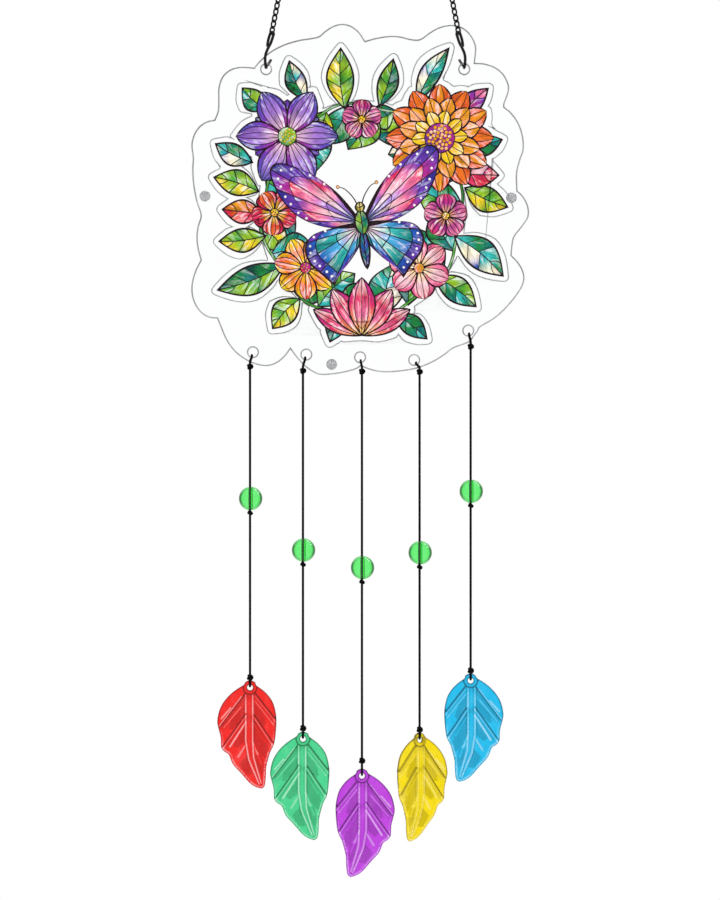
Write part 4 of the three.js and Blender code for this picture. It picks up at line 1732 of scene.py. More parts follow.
@dataclass(frozen=True)
class Print:
    """The whole print: a wreath of leaves and flowers round a butterfly.

    Places and widths are in hundredths of the panel's width about the datum, and the leaves' in
    shares of the wreath's own middle.
    """

    unit: float = 2.0
    middle: Point2 = (-1, -42)
    spread: Point2 = (31, 33)
    inner_leaves: int = 27
    vine_arc: int = 45

    def at(self, p: Point2) -> Point2:
        """Turn hundredths into mm."""
        return (p[0] * self.unit, p[1] * self.unit)

    def wreath(self, p: Point2) -> Point2:
        """Turn shares of the wreath's middle into mm."""
        return self.at((self.middle[0] + self.spread[0] * p[0], self.middle[1] + self.spread[1] * p[1]))

    def polar(self, angle: float, reach: float) -> Point2:
        """Give the wreath's point at an angle in degrees and a share of its middle."""
        return self.wreath((reach * math.cos(math.radians(angle)), reach * math.sin(math.radians(angle))))

    def leaves(self, picture: Picture) -> None:
        """Draw the leaves that point out of the wreath and those that lie in it.

        Args:
            picture: Where it goes.
        """
        warm = (Ink.LEAF, Ink.LIME, Ink.YELLOW)
        fresh = (Ink.GREEN, Ink.LEAF, Ink.LIME)
        cool = (Ink.TEAL, Ink.AQUA, Ink.GREEN)
        deep = (Ink.DEEP, Ink.TEAL, Ink.GREEN)
        icy = (Ink.BLUE, Ink.AQUA, Ink.CREAM)
        dusk = (Ink.VIOLET, Ink.PINK, Ink.MAGENTA)
        rosy = ((Ink.MAGENTA, Ink.ROSE, Ink.BLUSH), (Ink.RED, Ink.ROSE))
        fiery = ((Ink.ORANGE, Ink.RED, Ink.ROSE), (Ink.GOLD, Ink.RED))
        pairs = ((fresh, cool), (deep, cool), (warm, fresh), (cool, icy), (deep, fresh), (fresh, deep))
        kinds = ((20, 0.56, 11, 4), (26, 0.7, 9.5, 3), (15, 0.84, 8, 3))
        for number in range(self.inner_leaves):
            angle = 4 + 360 * number / self.inner_leaves
            sweep, reach, width, veins = kinds[number % 3]
            tip = self.polar(angle + sweep, reach)
            blade = Blade(self.polar(angle, 0.96), tip, width * self.unit, 2.4)
            blade.draw_leaf(picture, *pairs[number % 6], veins)
        for start in range(0, 360, self.vine_arc):
            turns = range(start - 2, start + self.vine_arc + 3, 7)
            vine = [self.polar(a, 0.95 + 0.025 * math.sin(math.radians(8 * a))) for a in turns]
            picture.stroke(vine, 1.9, 1.9, (Ink.LINE,))
            picture.stroke(vine, 1.0, 1.0, (Ink.DEEP, Ink.LEAF, Ink.DEEP))
        outer = (
            ((-0.161, 0.9), (-0.2, 1.467), 8.5, 0.8, warm, fresh, 5),
            ((0.161, 0.92), (0.303, 1.37), 6.5, -0.6, fresh, deep, 4),
            ((0.516, 0.95), (0.839, 1.467), 6.5, 1, icy, cool, 4),
            ((0.92, 0.8), (1.213, 1.103), 6.5, 0.8, dusk, dusk, 3),
            ((1.0, 0.5), (1.348, 0.642), 6.5, 0.5, cool, deep, 3),
            ((0.97, 0.212), (1.4, 0.03), 8, -0.6, fresh, warm, 4),
            ((0.87, -0.22), (1.355, -0.591), 9.5, 1, cool, icy, 4),
            ((0.68, -0.58), (1.097, -0.864), 8, 0.8, fresh, cool, 4),
            ((0.3, -0.92), (0.629, -1.152), 6.5, 0.6, deep, cool, 3),
            ((-0.21, -0.82), (-0.306, -1.182), 7, 0.6, cool, deep, 3),
            ((-0.58, -0.78), (-0.855, -1.061), 8, -0.8, warm, fresh, 4),
            ((-0.72, -0.47), (-1.387, -0.712), 9, 1, fresh, deep, 5),
            ((-0.9, -0.22), (-1.371, -0.273), 7.5, 0.6, warm, fresh, 4),
            ((-0.97, 0.17), (-1.419, 0.303), 8, -0.6, warm, fresh, 4),
            ((-1.03, 0.43), (-1.403, 0.606), 7, 0.6, icy, cool, 3),
            ((-0.88, 0.9), (-1.145, 1.106), 7, 0.8, cool, fresh, 3),
            ((-0.52, 0.98), (-0.694, 1.352), 6.5, 0.8, deep, icy, 4),
            ((0.9, 0.333), (1.316, 0.318), 8, 0, *rosy, 3),
            ((-0.93, -0.03), (-1.339, 0.015), 7.5, 0, *fiery, 3),
        )
        for base, tip, width, bend, first, second, veins in outer:
            blade = Blade(self.wreath(base), self.wreath(tip), width * self.unit, bend * self.unit)
            blade.draw_leaf(picture, first, second, veins)

    def flowers(self, picture: Picture) -> None:
        """Draw the flowers.

        Args:
            picture: Where it goes.
        """
        embers = (Ink.RED, Ink.ORANGE, Ink.GOLD)
        sun = (
            PetalRing(12, 0.99, 0.46, 0, embers, (Ink.ROSE, Ink.RED, Ink.ORANGE)),
            PetalRing(12, 0.76, 0.36, 15, (Ink.RED, Ink.ORANGE, Ink.YELLOW), (Ink.RED, Ink.GOLD), strips=2),
            PetalRing(10, 0.52, 0.27, 4, (Ink.ORANGE, Ink.YELLOW), (Ink.GOLD, Ink.YELLOW), strips=2),
        )
        dark, cold = (Ink.INDIGO, Ink.VIOLET), (Ink.BLUE, Ink.INDIGO)
        pale, cool = (Ink.BLUSH, Ink.LILAC, Ink.VIOLET), (Ink.MAGENTA, Ink.VIOLET, Ink.BLUE)
        star = (
            PetalRing(6, 0.71, 0.42, 30, dark, cold, peak=1.2, blunt=0.8),
            PetalRing(6, 0.985, 0.58, 0, pale, cool, strips=5, peak=1.15, blunt=0.75),
        )
        warm, gold = (Ink.YELLOW, Ink.ORANGE, Ink.RED), (Ink.GOLD, Ink.ORANGE, Ink.YELLOW)
        ember = (PetalRing(7, 1.0, 0.74, 14, warm, gold, strips=4, blunt=0.55),)
        soft, pink = (Ink.YELLOW, Ink.BLUSH, Ink.PINK), (Ink.GOLD, Ink.PINK, Ink.ROSE)
        blossom = (PetalRing(6, 1.0, 0.8, 40, soft, pink, strips=4, blunt=0.55),)
        rosy, plum = (Ink.GOLD, Ink.MAGENTA, Ink.ROSE), (Ink.INDIGO, Ink.MAGENTA, Ink.PINK)
        mallow = (PetalRing(5, 1.0, 1.0, 18, rosy, plum, strips=5, peak=1.7, blunt=0.5),)
        fire, scarlet = (Ink.YELLOW, Ink.RED, Ink.ORANGE), (Ink.MAGENTA, Ink.RED, Ink.ROSE)
        poppy = (PetalRing(5, 1.0, 1.0, 50, fire, scarlet, strips=5, peak=1.7, blunt=0.5),)
        flowers = (
            ((23.8, -43.5), 6.6, mallow, 0.15, (Ink.YELLOW, Ink.GOLD), 6, Ink.RED),
            ((-26.8, -42.5), 6.8, poppy, 0.15, (Ink.YELLOW, Ink.GOLD), 6, Ink.MAGENTA),
            ((-1, -15), 6.0, mallow, 0.16, (Ink.YELLOW, Ink.GOLD), 6, Ink.RED),
            ((15.9, -58.9), 9.3, blossom, 0.15, (Ink.GOLD, Ink.ORANGE), 6, Ink.YELLOW),
            ((-17.6, -58.8), 9.4, ember, 0.16, (Ink.MAGENTA, Ink.RED), 7, Ink.YELLOW),
            ((-23.01, -19.99), 15.5, star, 0.17, (Ink.LIME, Ink.GREEN), 14, Ink.YELLOW),
            ((22, -20.48), 16.2, sun, 0.27, (Ink.MAGENTA, Ink.INDIGO), 34, Ink.GOLD),
        )
        for middle, radius, *rest in flowers:
            Flower(self.at(middle), radius * self.unit, *rest).draw(picture)
        foot = (-1, -79)
        fan = (((-15.5, -71), 6.5), ((13.5, -71), 6.5), ((-10, -65), 8), ((8, -65), 8), ((-1, -61.5), 8.5))
        for tip, width in fan:
            blade = Blade(self.at(foot), self.at(tip), width * self.unit, 0, 1.1, 0.8)
            middle = (Ink.YELLOW, Ink.PINK, Ink.ROSE, Ink.BLUSH)
            blade.draw_petal(picture, middle, (Ink.GOLD, Ink.ROSE, Ink.MAGENTA), 4)

    def build(self, datum: Vector, depth: float, material: Material) -> Piece:
        """Draw the picture and lay it on the plate.

        Args:
            datum: The place midway between the hanging holes, in x and z.
            depth: The depth of the film.
            material: The ink.

        Returns:
            The film.
        """
        picture = Picture(PICTURE_EDGE, PICTURE_LINE)
        self.leaves(picture)
        self.flowers(picture)
        Butterfly(self.at((-1, -45.5)), self.unit * 0.93).draw(picture)
        log.info("the print has %d patches", len(picture.patches))
        return picture.film(datum, depth, PICTURE_GRID, material)


# The ring, chains and hooks


@dataclass
class Metalwork:
    """The ring, the two chains and the two hooks, with the sizes of their solids."""

    ring_bore: float = 16 * MM
    ring_wire: float = 1.2 * MM
    landing: float = 3 * MM
    chain_rise: float = 265 * MM
    link_pitch: float = 3.74 * MM
    link_width: float = 3.4 * MM
    link_wire: float = 1.05 * MM
    hook_wire: float = 1.7 * MM
    hook_height: float = 20.6 * MM
    hook_lean: float = 3.5 * MM
    hole_away: float = 58.6 * MM
    panel_back: float = 1.5 * MM
    finish: BlackWire = BlackWire()

    def ring_middle(self) -> float:
        """Give the radius of the middle of the ring's wire."""
        return (self.ring_bore + self.ring_wire) / 2

    def landing_height(self) -> float:
        """Give the height at which the chains hang on the ring."""
        return -self.ring_bore / 2 - math.sqrt(self.ring_middle() ** 2 - self.landing**2)

    def eye_across(self) -> float:
        """Give half the width of a hook's eye across X or Y."""
        return ((self.hook_wire + self.link_wire) / 2 + CLEARANCE) * math.sqrt(0.5)

    def bend_reach(self) -> float:
        """Give how far the hook's wire stands from the panel's middle."""
        return self.panel_back + CLEARANCE + self.hook_wire / 2

    def eye_depth(self) -> float:
        """Give how far the hook's eye stands in front of the panel's middle."""
        return self.bend_reach() + self.eye_across()

    def ring(self, material: Material) -> Piece:
        """Bend the ring from one wire, with its two ends meeting at the side.

        Args:
            material: The wire's material.

        Returns:
            The ring.
        """
        reach = self.ring_middle()
        gap = 0.14 * MM / reach
        steps, seam = 96, -0.6
        angles = [gap / 2 + (2 * math.pi - gap) * step / steps + seam for step in range(steps + 1)]
        middle = Vector((0, 0, -self.ring_bore / 2))
        path = [middle + Vector((reach * math.cos(a), 0, reach * math.sin(a))) for a in angles]
        made = tube_object("bent_ring", [(path, False)], self.ring_wire / 2, 20, material)
        return settle(made, "black_wire", "hanging_ring")

    def hook_path(self) -> list[Vector]:
        """Give a hook's wire from its tip behind the panel to the end of its eye; inwards is +X."""
        bend, across, depth = self.bend_reach(), self.eye_across(), self.eye_depth()

        def rise(share: float) -> float:
            """Give a share of the hook's height."""
            return self.hook_height * share

        def body(share: float, side: float) -> Vector:
            """Give a point beside the hook's leaning shank, at a share of its height."""
            lean = self.hook_lean * min(1, (share - 0.35) / 0.6)
            return Vector((lean + side * across, -depth - side * across, rise(share)))

        points = [
            Vector((rise(0.14), bend + rise(0.025), bend + rise(0.11))),
            Vector((rise(0.07), bend + rise(0.01), bend)),
        ]
        for degrees in (60, 30, 0, -30, -60):
            angle = math.radians(degrees)
            side = math.sin(angle)
            points.append(Vector((rise(0.017) * side, bend * side, bend * (1 - math.cos(angle)))))
        points += [
            Vector((-rise(0.02), -bend, bend)),
            Vector((-rise(0.024), -bend, rise(0.27))),
            Vector((0, -bend - rise(0.005), rise(0.4))),
            body(0.55, 0.2),
            body(0.68, 0.8),
            body(0.85, 1),
        ]
        for degrees in (20, 55, 90, 125, 160):
            angle = math.radians(degrees)
            side = math.cos(angle) * across
            top = rise(1) - across * math.sqrt(2) * (1 - math.sin(angle))
            points.append(Vector((self.hook_lean + side, -depth - side, top)))
        return [*points, body(0.82, -1), body(0.7, -0.85), body(0.6, -0.5)]

    def link_path(self, half: float) -> list[Vector]:
        """Give one curb link's centreline: an oval whose ends stand a quarter turn apart.

        Args:
            half: Half its length between the wire's middles.

        Returns:
            The closed centreline about the origin.
        """
        wide = (self.link_width - self.link_wire) / 2
        path = []
        for step in range(20):
            angle = 2 * math.pi * step / 20
            across = wide * math.copysign(abs(math.cos(angle)) ** 0.8, math.cos(angle))
            height = half * math.copysign(abs(math.sin(angle)) ** 0.9, math.sin(angle))
            twist = math.pi / 4 * height / half
            path.append(Vector((across * math.cos(twist), across * math.sin(twist), height)))
        return path

    def chain(self, side: str, inwards: int, material: Material) -> Piece:
        """Hang one chain between its hook's eye and the ring.

        Args:
            side: "left" or "right".
            inwards: The sign of X towards the middle.
            material: The wire's material.

        Returns:
            The chain.
        """
        foot = self.landing_height() - self.chain_rise
        start = Vector((-inwards * (self.hole_away - self.hook_lean), -self.eye_depth(), foot))
        end = Vector((-inwards * self.landing, 0, self.landing_height()))
        run = end - start
        away = run.normalized()
        low = -(self.hook_wire + self.link_wire) / 2
        high = run.length + (self.ring_wire + self.link_wire) / 2
        count = round((high - low - self.link_wire) / self.link_pitch)
        pitch = (high - low - self.link_wire) / count
        turn = Vector((0, 0, 1)).rotation_difference(away)
        rng = random.Random(7)
        paths = []
        for number in range(count):
            middle = start + away * (low + (pitch + self.link_wire) / 2 + number * pitch)
            sway = rng.uniform(-0.12, 0.12)
            path = []
            for point in self.link_path((pitch + self.link_wire) / 2):
                x = inwards * (point.x * math.cos(sway) - point.y * math.sin(sway))
                y = point.x * math.sin(sway) + point.y * math.cos(sway)
                path.append(middle + turn @ Vector((x, y, point.z)))
            paths.append((path, True))
        made = tube_object(f"curb_chain_{side}", paths, self.link_wire / 2, 8, material)
        return settle(made, "black_wire", f"chain_{side}")

    def hook(self, side: str, inwards: int, material: Material) -> Piece:
        """Bend one hook through the panel's hole.

        Args:
            side: "left" or "right".
            inwards: The sign of X towards the middle.
            material: The wire's material.

        Returns:
            The hook.
        """
        foot = self.landing_height() - self.chain_rise - self.hook_height
        place = Vector((-inwards * self.hole_away, 0, foot))
        points = [place + Vector((p.x * inwards, p.y, p.z)) for p in self.hook_path()]
        path = catmull(points, 5, False)
        made = tube_object(f"wire_hook_{side}", [(path, False)], self.hook_wire / 2, 14, material)
        return settle(made, "black_wire", f"hook_{side}")

    def build(self) -> None:
        """Make every wire piece."""
        material = self.finish.material()
        self.ring(material)
        for side, inwards in (("left", 1), ("right", -1)):
            self.chain(side, inwards, material)
            self.hook(side, inwards, material)


# The moulded leaves


@dataclass(frozen=True)
class LeafShape:
    """A leaf's mesh about its hole, with painted light and shade for each vertex."""

    points: list[Vector]
    faces: list[tuple[int, ...]]
    painted_light_shades: list[float]


@dataclass
class LeafMould:
    """The one mould that every leaf comes from, about the middle of its hole."""

    length: float = 64.3 * MM
    thickness: float = 1.6 * MM
    hole: float = 3.3 * MM
    boss: float = 8 * MM
    boss_rise: float = 0.5 * MM
    rib_rise: float = 0.8 * MM
    vein_rise: float = 0.6 * MM
    line_rise: float = 0.5 * MM
    vein_slope: float = 4.5 * MM
    rim: float = 0.75 * MM
    grid: float = 0.62 * MM
    # How deep the painted shade on vein slopes and facets goes, and how bright a painted highlight may grow.
    painted_slope_shade: float = 0.5
    painted_facet_shade: float = 0.36
    brightest_painted_highlight: float = 0.85
    top: float = 6.8
    edge: tuple[Point2, ...] = (
        (0, 6.8), (4.1, 5.2), (6.2, 2.2), (11.6, -1.1), (18.1, -6.2), (24, -12.9), (28.1, -20.6),
        (30.2, -31), (28.9, -38.4), (27, -46), (26.5, -55.1), (23.4, -59.2), (19.5, -62), (15.9, -70.5),
        (8.6, -78.6), (0.5, -87.8), (-5, -91.5), (-10.5, -93.2), (-13.5, -90.5), (-14.6, -81.4),
        (-15, -73), (-18.4, -60), (-22.5, -50.6), (-24.3, -31.6), (-23.3, -21.3), (-20.8, -13.2),
        (-16.3, -6.7), (-11.3, -1.9), (-6, 1.9), (-4.6, 5),
    )
    rib_left: tuple[Point2, ...] = ((-2.5, -5), (-2.5, -49), (-3.2, -64), (-10.2, -88))
    rib_right: tuple[Point2, ...] = ((3.9, -5), (3.9, -49), (1.2, -66), (-8.6, -89))
    # Each line: start, end, strength and spread; above 0 a raised line with a painted highlight, below 0 a
    # dark line with painted shade down its slope.
    lines: tuple[tuple[Point2, Point2, float, float], ...] = (
        ((4.4, -5.3), (28.2, -36.8), -1.3, 0.26), ((8, -8.6), (28, -35.2), 0.75, 0.24),
        ((17.9, -18.8), (26.4, -28.6), 0.8, 0.3), ((8.4, -18), (24.3, -37), 0.65, 0.24),
        ((4.1, -24), (25.8, -54.8), -1.3, 0.26), ((3.4, -26), (25, -56.4), 0.85, 0.28),
        ((3.8, -31.7), (18.5, -54.4), 1.0, 0.4), ((4.4, -53.4), (10.9, -63.8), 0.5, 0.45),
        ((-4.6, -4.5), (-24, -29.5), -1.3, 0.26), ((-4.5, -8), (-23.4, -31.6), 0.7, 0.26),
        ((-4.5, -12.3), (-21.5, -34), 0.55, 0.24), ((-3.9, -25), (-22.3, -52), -1.3, 0.26),
        ((-3.6, -27.6), (-21.5, -54.4), 0.85, 0.3), ((-3.6, -33), (-14, -50.5), 0.45, 0.4),
        ((-2.6, -49.7), (-10.3, -70.3), 0.45, 0.45),
    )
    # The facets that take painted shade.
    facets: tuple[tuple[Point2, ...], ...] = (
        ((-4, -14), (-11, -22), (-15, -33), (-12, -36), (-4, -24.5)),
        ((-3, -28), (-9.8, -39), (-17, -56), (-14.4, -66), (-6, -58), (-2.6, -49)),
        ((5, -16.5), (17, -30), (20, -38), (16, -39), (5, -24.5)),
        ((5, -36), (16, -53), (11.5, -56), (5, -50)),
        ((2.6, -62), (10, -70.5), (4, -80), (-2, -80)),
        ((-11, -62), (-4.8, -62), (-6.5, -72), (-11, -82), (-13, -74)),
    )

    def scaled(self, points: Iterable[Point2]) -> list[Point2]:
        """Turn hundredths of the leaf's length into metres."""
        return [(x * self.length / 100, z * self.length / 100) for x, z in points]

    def outline(self) -> list[Point2]:
        """Give the smooth outline, anticlockwise."""
        points = catmull([Vector(p) for p in self.scaled(self.edge)], 4, True, 0.9)
        return [tuple(p) for p in reversed(points)]

    def relief(self, p: Point2) -> Point2:
        """Give how far the front stands out at a point past the plain blade, and the light and shade painted
        there.

        Args:
            p: The point, in metres.

        Returns:
            The height in metres, and the painted light and shade from -1 (painted shade) to 1 (painted
            highlight).
        """
        away = math.hypot(*p)
        height = painted_light_shade = 0.0
        for start, end, strength, spread in self.lines:
            a, b = self.scaled([start, end])
            gap, along, side = segment_distance(p, a, b)
            down = -side if b[0] > a[0] else side
            core = strength * bell(gap, spread * MM)
            # A painted highlight on lines above 0, painted shade on those below.
            painted_light_shade += core
            if strength > 0:
                height = max(height, self.line_rise * core)
            elif down > 0:
                reach = smooth_step(-0.06, 0.02, along) * (1 - smooth_step(0.9, 1.04, along))
                slope = max(0.0, 1 - down / self.vein_slope) * smooth_step(0, 0.4 * MM, down)
                height = max(height, self.vein_rise * slope * reach)
                painted_light_shade -= self.painted_slope_shade * slope * reach
        for line in (self.rib_left, self.rib_right):
            points = self.scaled(line)
            near = min(segment_distance(p, a, b)[0] for a, b in zip(points, points[1:]))
            core = bell(near, 0.3 * MM)
            height = max(height, self.rib_rise * bell(near, 0.5 * MM))
            # A painted highlight along each rib, with painted shade beside it.
            painted_light_shade += 0.85 * core - 0.3 * bell(near - 0.9 * MM, 0.35 * MM)
        if inside(p, self.scaled([*self.rib_left, *reversed(self.rib_right)])):
            height = max(height, 0.4 * self.rib_rise)
        painted_light_shade = min(self.brightest_painted_highlight, painted_light_shade)
        if any(inside(p, self.scaled(facet)) for facet in self.facets):
            painted_light_shade -= self.painted_facet_shade
        moat = smooth_step(self.boss / 2 + 1.1 * MM, self.boss / 2 + 0.5 * MM, away)
        height *= 1 - moat
        painted_light_shade *= 1 - smooth_step(self.boss / 2 + 0.6 * MM, self.boss / 2, away)
        ring = smooth_step(self.boss / 2 + 0.25 * MM, self.boss / 2 - 0.2 * MM, away)
        # Painted shade in rings round the boss and the hole.
        painted_light_shade -= 1.2 * bell(away - self.boss / 2, 0.35 * MM)
        painted_light_shade -= 0.6 * bell(away - self.hole / 2, 0.35 * MM)
        return height + self.boss_rise * ring, painted_light_shade

    def shape(self) -> LeafShape:
        """Build the leaf about its hole, with its veins towards -Y."""
        outline = self.outline()
        bore = circle((0, 0), self.hole / 2, 28)
        flat: list[Point2] = list(outline) + bore
        limits = [list(range(len(outline))), list(range(len(outline), len(flat)))]
        for depth in (0.12, 0.35, 0.7, 1.1):
            for i, p in enumerate(outline):
                a, b = outline[i - 1], outline[(i + 1) % len(outline)]
                away = Vector((a[1] - b[1], b[0] - a[0])).normalized() * depth * self.rim
                q = (p[0] + away.x, p[1] + away.y)
                if inside(q, outline) and self.edge_gap(q, outline) > depth * self.rim * 0.9:
                    flat.append(q)
        for grow in (0.12, 0.35, 0.7):
            flat += circle((0, 0), self.hole / 2 + grow * self.rim, 28)
        for reach in (-0.35, -0.1, 0.1, 0.35):
            flat += circle((0, 0), self.boss / 2 + reach * MM, 44)
        flat += self.beside_lines(outline)
        for q in staggered(outline, self.grid):
            clear = math.hypot(*q) > self.hole / 2 + self.rim
            if clear and inside(q, outline) and self.edge_gap(q, outline) > 1.3 * self.rim:
                flat.append(q)
        made = delaunay_2d_cdt([Vector(p) * 1000 for p in flat], [], limits, 1, 1e-4)
        points = [(p.x / 1000, p.y / 1000) for p in made[0]]
        faces = [face for face, owners in zip(made[2], made[5]) if 0 in owners and 1 not in owners]
        return self.solid(points, faces, outline)

    def beside_lines(self, outline: Sequence[Point2]) -> list[Point2]:
        """Give the points along the veins and ribs, in rows close beside them.

        Args:
            outline: The leaf's outline.

        Returns:
            The points that lie clear of its edge and its boss.
        """
        runs = [self.scaled([start, end]) for start, end, _, _ in self.lines]
        for line in (self.rib_left, self.rib_right):
            points = self.scaled(line)
            runs += [list(pair) for pair in zip(points, points[1:])]
        found = []
        for a, b in runs:
            length = math.dist(a, b)
            across = ((a[1] - b[1]) / length, (b[0] - a[0]) / length)
            steps = max(2, round(length / (0.5 * MM)))
            for i in range(steps + 1):
                x, z = mix(a, b, i / steps)
                for off in (-0.6, -0.3, 0.0, 0.3, 0.6):
                    q = (x + across[0] * off * MM, z + across[1] * off * MM)
                    clear = math.hypot(*q) > self.boss / 2 + 0.5 * MM
                    if clear and inside(q, outline) and self.edge_gap(q, outline) > 1.2 * self.rim:
                        found.append(q)
        return found

    def edge_gap(self, p: Point2, outline: Sequence[Point2]) -> float:
        """Give a point's distance from the outline or the hole, whichever is nearer."""
        edge = min(segment_distance(p, outline[i - 1], q)[0] for i, q in enumerate(outline))
        return min(edge, abs(math.hypot(*p) - self.hole / 2))

    def solid(self, points: list[Point2], faces: list[Sequence[int]], outline: list[Point2]) -> LeafShape:
        """Close the flat mesh into a leaf with round edges and a relief that is shallower behind.

        Args:
            points: The flat points.
            faces: The flat faces, anticlockwise.
            outline: The leaf's outline.

        Returns:
            The leaf's mesh with its painted light and shade.
        """
        half = self.thickness / 2
        used = sorted({v for face in faces for v in face})
        front, back, painted_light_shades, number = [], [], [], {}
        for v in used:
            gap = self.edge_gap(points[v], outline)
            share = min(1.0, gap / self.rim)
            round_off = math.sqrt(max(0.0, 1 - (1 - share) ** 2))
            lower = smooth_step(-30, -60, points[v][1] / self.length * 100)
            roll = 0.28 * MM * lower * bell(gap - 0.9 * MM, 0.4 * MM)
            inner = smooth_step(0.4 * self.rim, 1.6 * self.rim, gap)
            boss = smooth_step(self.boss / 2 + 0.2 * MM, self.boss / 2 - 0.2 * MM, math.hypot(*points[v]))
            height, painted_light_shade = self.relief(points[v])
            rise = height * max(inner, boss * round_off) + roll
            x, z = points[v]
            number[v] = len(front)
            front.append(Vector((x, -(half + rise) * round_off, z)))
            behind = max(0.45 * height * inner, self.boss_rise * boss) + 0.5 * roll
            back.append(Vector((x, (half + behind) * round_off, z)))
            # A painted highlight just inside the lower edges, and painted shade along the whole outline.
            painted_light_shade += 0.7 * lower * bell(gap - 0.95 * MM, 0.3 * MM)
            painted_light_shade -= (1.2 - 0.6 * lower) * bell(gap, 0.55 * MM)
            painted_light_shades.append(painted_light_shade)
        count = len(front)
        rims = {number[v] for v in used if self.edge_gap(points[v], outline) < 1e-6}
        other = [n if n in rims else n + count for n in range(count)]
        solid_faces = [tuple(number[v] for v in face) for face in faces]
        solid_faces += [tuple(other[number[v]] for v in reversed(face)) for face in faces]
        return LeafShape(front + back, solid_faces, painted_light_shades * 2)


# The strands


@dataclass
class Strand:
    """One cord with its knots, bead and leaf, placed on its solids."""

    number: int
    name: str
    colour: str
    turn: float
    lean: float
    cord: float = 1.4 * MM
    bead: float = 14 * MM
    bead_bore: float = 2.4 * MM
    bead_shift: float = 0.35 * MM
    panel_back: float = 1.5 * MM
    knot_in: float = 1.1 * MM

    def middle(self, node: str) -> Vector:
        """Give the middle of a node's box."""
        low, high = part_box(node)
        return (low + high) / 2

    def straight(self, material: Material) -> Piece:
        """Hang the long run of cord between its two knots.

        Args:
            material: The cord's material.

        Returns:
            The cord.
        """
        node = f"cord_{self.number}"
        low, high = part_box(node)
        low.z -= self.knot_in
        high.z += self.knot_in
        x, y = self.middle(node).xy
        steps = max(15, round((high.z - low.z) / (3 * MM)))
        path = [Vector((x, y, high.z + (low.z - high.z) * i / steps)) for i in range(steps + 1)]
        made = tube_object(f"hanging_cord_{self.number}", [(path, False)], self.cord / 2, 12, material)
        settle(made, "black_cord", node)
        return made

    def loop(self, name: str, node: str, points: list[Vector], material: Material) -> Piece:
        """Bend a short loop of the cord through a hole.

        Args:
            name: The piece's name.
            node: The solid it stands for.
            points: The points it passes.
            material: The cord's material.

        Returns:
            The loop.
        """
        path = catmull(points, 4, False)
        made = tube_object(name, [(path, False)], self.cord / 2, 12, material)
        return settle(made, "black_cord", node)

    def top_loop(self, material: Material) -> Piece:
        """Loop the cord through the panel's hole, down both faces to the knot.

        Args:
            material: The cord's material.

        Returns:
            The loop.
        """
        node = f"cord_{self.number}_loop"
        low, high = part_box(node)
        knot = self.middle(f"top_knot_{self.number}")
        reach = self.cord / 2 + CLEARANCE
        lean = self.lean * 0.65
        top = high.z - self.cord / 2
        x = knot.x - lean
        half = [
            Vector((knot.x, self.panel_back + reach * 0.7, low.z - 0.6 * MM)),
            Vector((knot.x - lean * 0.1, self.panel_back + reach, low.z + 1.6 * MM)),
            Vector((x, self.panel_back + reach, top - reach)),
            Vector((x, self.panel_back + reach * 0.72, top - reach * 0.28)),
            Vector((x, self.panel_back * 0.8, top)),
        ]
        other = [Vector((p.x, -p.y, p.z)) for p in reversed(half)]
        points = [*half, Vector((x, 0, top)), *other]
        return self.loop(f"panel_loop_{self.number}", node, points, material)

    def leaf_loop(self, material: Material, hole: Vector) -> Piece:
        """Loop the cord through the leaf's hole, up both faces to the knot.

        Args:
            material: The cord's material.
            hole: The middle of the leaf's hole.

        Returns:
            The loop.
        """
        node = f"cord_{self.number}_leaf_loop"
        low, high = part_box(node)
        mould = LeafMould()
        face = mould.thickness / 2 + mould.boss_rise
        reach = self.cord / 2 + CLEARANCE
        bottom = low.z + self.cord / 2 - hole.z
        top = high.z - hole.z
        half = [
            Vector((0, (face + reach) * 0.55, top + 0.9 * MM)),
            Vector((0, (face + reach) * 0.9, top - 0.3 * MM)),
            Vector((0, face + reach, bottom + reach + 0.8 * MM)),
            Vector((0, face + reach * 0.72, bottom + reach * 0.28)),
            Vector((0, face * 0.5, bottom)),
        ]
        other = [Vector((p.x, -p.y, p.z)) for p in reversed(half)]
        points = [hole + p for p in half + other]
        return self.loop(f"leaf_loop_{self.number}", node, points, material)

    def knot(self, kind: str, size: Vector, tilt: float, material: Material) -> Piece:
        """Tie an overhand knot in the cord.

        Args:
            kind: The knot's node without its number.
            size: Its half sizes.
            tilt: Its turn about Y, in degrees.
            material: The cord's material.

        Returns:
            The knot.
        """
        node = f"{kind}_{self.number}"
        place = self.middle(node)
        wire = self.cord / 2
        cosine, sine = math.cos(math.radians(tilt)), math.sin(math.radians(tilt))
        path, steps = [], 66
        for step in range(steps):
            t = 2 * math.pi * step / steps
            away = (0.6 + 0.4 * math.cos(3 * t)) * (size.x - wire)
            x, y = away * math.cos(2 * t), away * math.sin(2 * t) * (size.y - wire) / (size.x - wire)
            z = math.sin(3 * t) * (size.z - wire)
            path.append(place + Vector((x * cosine - z * sine, y, x * sine + z * cosine)))
        made = tube_object(f"tied_{kind}_{self.number}", [(path, True)], wire, 12, material)
        return settle(made, "black_cord", node)

    def green_bead(self, material: Material) -> Piece:
        """Turn the bored bead, with its lips rounded.

        Args:
            material: The bead's material.

        Returns:
            The bead.
        """
        node = f"bead_{self.number}"
        radius, bore = self.bead / 2, self.bead_bore / 2
        polar = math.asin(bore / radius)
        lip = 0.25 * MM
        profile = []
        for step in range(33):
            angle = polar + 0.05 + (math.pi - 2 * polar - 0.1) * step / 32
            profile.append((radius * math.sin(angle), -radius * math.cos(angle)))
        height = radius * math.cos(polar)
        profile.append((bore + lip * 0.35, height - lip * 0.25))
        profile += [(bore, (height - lip) * (1 - step / 6)) for step in range(13)]
        profile.append((bore + lip * 0.35, -(height - lip * 0.25)))
        place = self.middle(node) + Vector((self.bead_shift, 0, 0))
        made = lathe_object(f"green_bead_{self.number}", profile, 56, place, material)
        return settle(made, "green_bead", node)

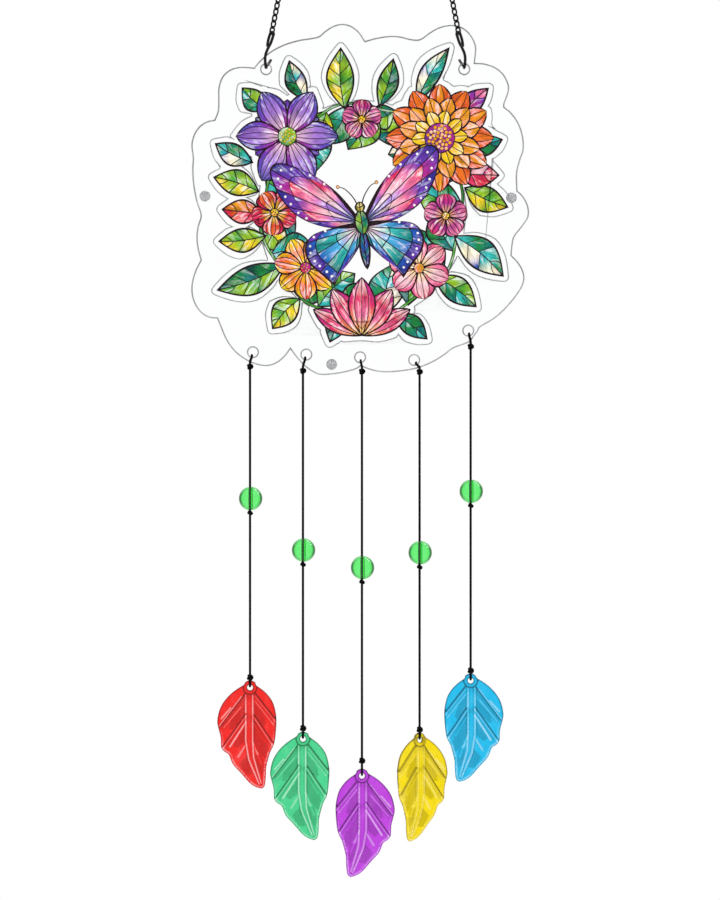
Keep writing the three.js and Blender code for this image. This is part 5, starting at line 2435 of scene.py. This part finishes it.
    def leaf(self, shape: LeafShape, turned: Callable[[Vector], Vector]) -> Piece:
        """Place this strand's leaf from the mould's shape.

        Args:
            shape: The mould's mesh.
            turned: Turns a point about the hole's upright axis, to where the leaf hangs.

        Returns:
            The leaf.
        """
        # The leaf plastic paints the relief's light and shade into its colour.
        clear = {"transmission": 0.9, "relief_light_painted": True, "ior": 1.3}
        material = TintedPlastic(f"{self.name}_leaf_plastic", from_hex(self.colour), **clear).material()
        places = [turned(p) for p in shape.points]
        made = mesh_object(f"{self.name}_leaf", places, shape.faces, material, 60)
        # The mesh carries the painted light and shade that the leaf's material reads.
        painted_light_shade = made.data.attributes.new("painted_light_shade", "FLOAT", "POINT")
        painted_light_shade.data.foreach_set("value", shape.painted_light_shades)
        return settle(made, f"{self.name}_leaf", f"leaf_{self.number}_{self.name}")

    def build(self, cord: Material, green: Material, shape: LeafShape) -> None:
        """Make every piece of the strand.

        Args:
            cord: The cord's material.
            green: The bead's material.
            shape: The leaf mould's mesh.
        """
        mould = LeafMould()
        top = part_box(f"leaf_{self.number}_{self.name}")[1].z
        hole = self.middle(f"cord_{self.number}")
        hole.z = top - mould.top * mould.length / 100
        cosine, sine = math.cos(math.radians(self.turn)), math.sin(math.radians(self.turn))

        def turned(p: Vector) -> Vector:
            """Turn a point about the cord's line and set it on the hole's middle."""
            return hole + Vector((p.x * cosine - p.y * sine, p.x * sine + p.y * cosine, p.z))

        top_depth = self.panel_back + self.cord + CLEARANCE
        goes_with = [
            self.top_loop(cord),
            self.knot("top_knot", Vector((2.1 * MM, top_depth * 0.95, 1.75 * MM)), 8, cord),
            self.knot("bead_knot", Vector((1.9 * MM, 1.5 * MM, 1.25 * MM)), -24, cord),
            self.knot("leaf_knot", Vector((2.1 * MM, 2.3 * MM, 1.75 * MM)), -10, cord),
            self.leaf_loop(cord, hole),
        ]
        self.straight(cord)
        self.green_bead(green)
        self.leaf(shape, turned)


STRANDS = (
    Strand(1, "red", "f71a12", 180, -1.7 * MM),
    Strand(2, "green", "46d792", 180, -2 * MM),
    Strand(3, "purple", "c43fe2", 0, 1.1 * MM),
    Strand(4, "yellow", "ffe50f", 31, 3.2 * MM),
    Strand(5, "blue", "06c1f0", 0, 1.4 * MM),
)


def build_strands() -> None:
    """Make the five strands from one cord, one green plastic and one leaf mould."""
    cord = WaxedCord().material()
    clear = {"transmission": 0.97, "roughness": 0.02, "depth": 0.06, "haze": 0.0}
    # The bead takes painted shade at its left and right rims.
    polish = {"rim_shade_painted": True, "ior": 1.2, "grain": 0.02, "coat": 0.35}
    green = TintedPlastic("green_bead_plastic", from_hex("6cf47c"), **clear, **polish).material()
    shape = LeafMould().shape()
    for strand in STRANDS:
        strand.build(cord, green, shape)


def main() -> None:
    """Build every sub-assembly."""
    logging.basicConfig(level=logging.INFO, format="%(name)s: %(message)s")
    stage = Stage()
    stage.camera()
    build_strands()
    Metalwork().build()
    Panel().build()
    stage.build()


if __name__ == "__main__":
    main()
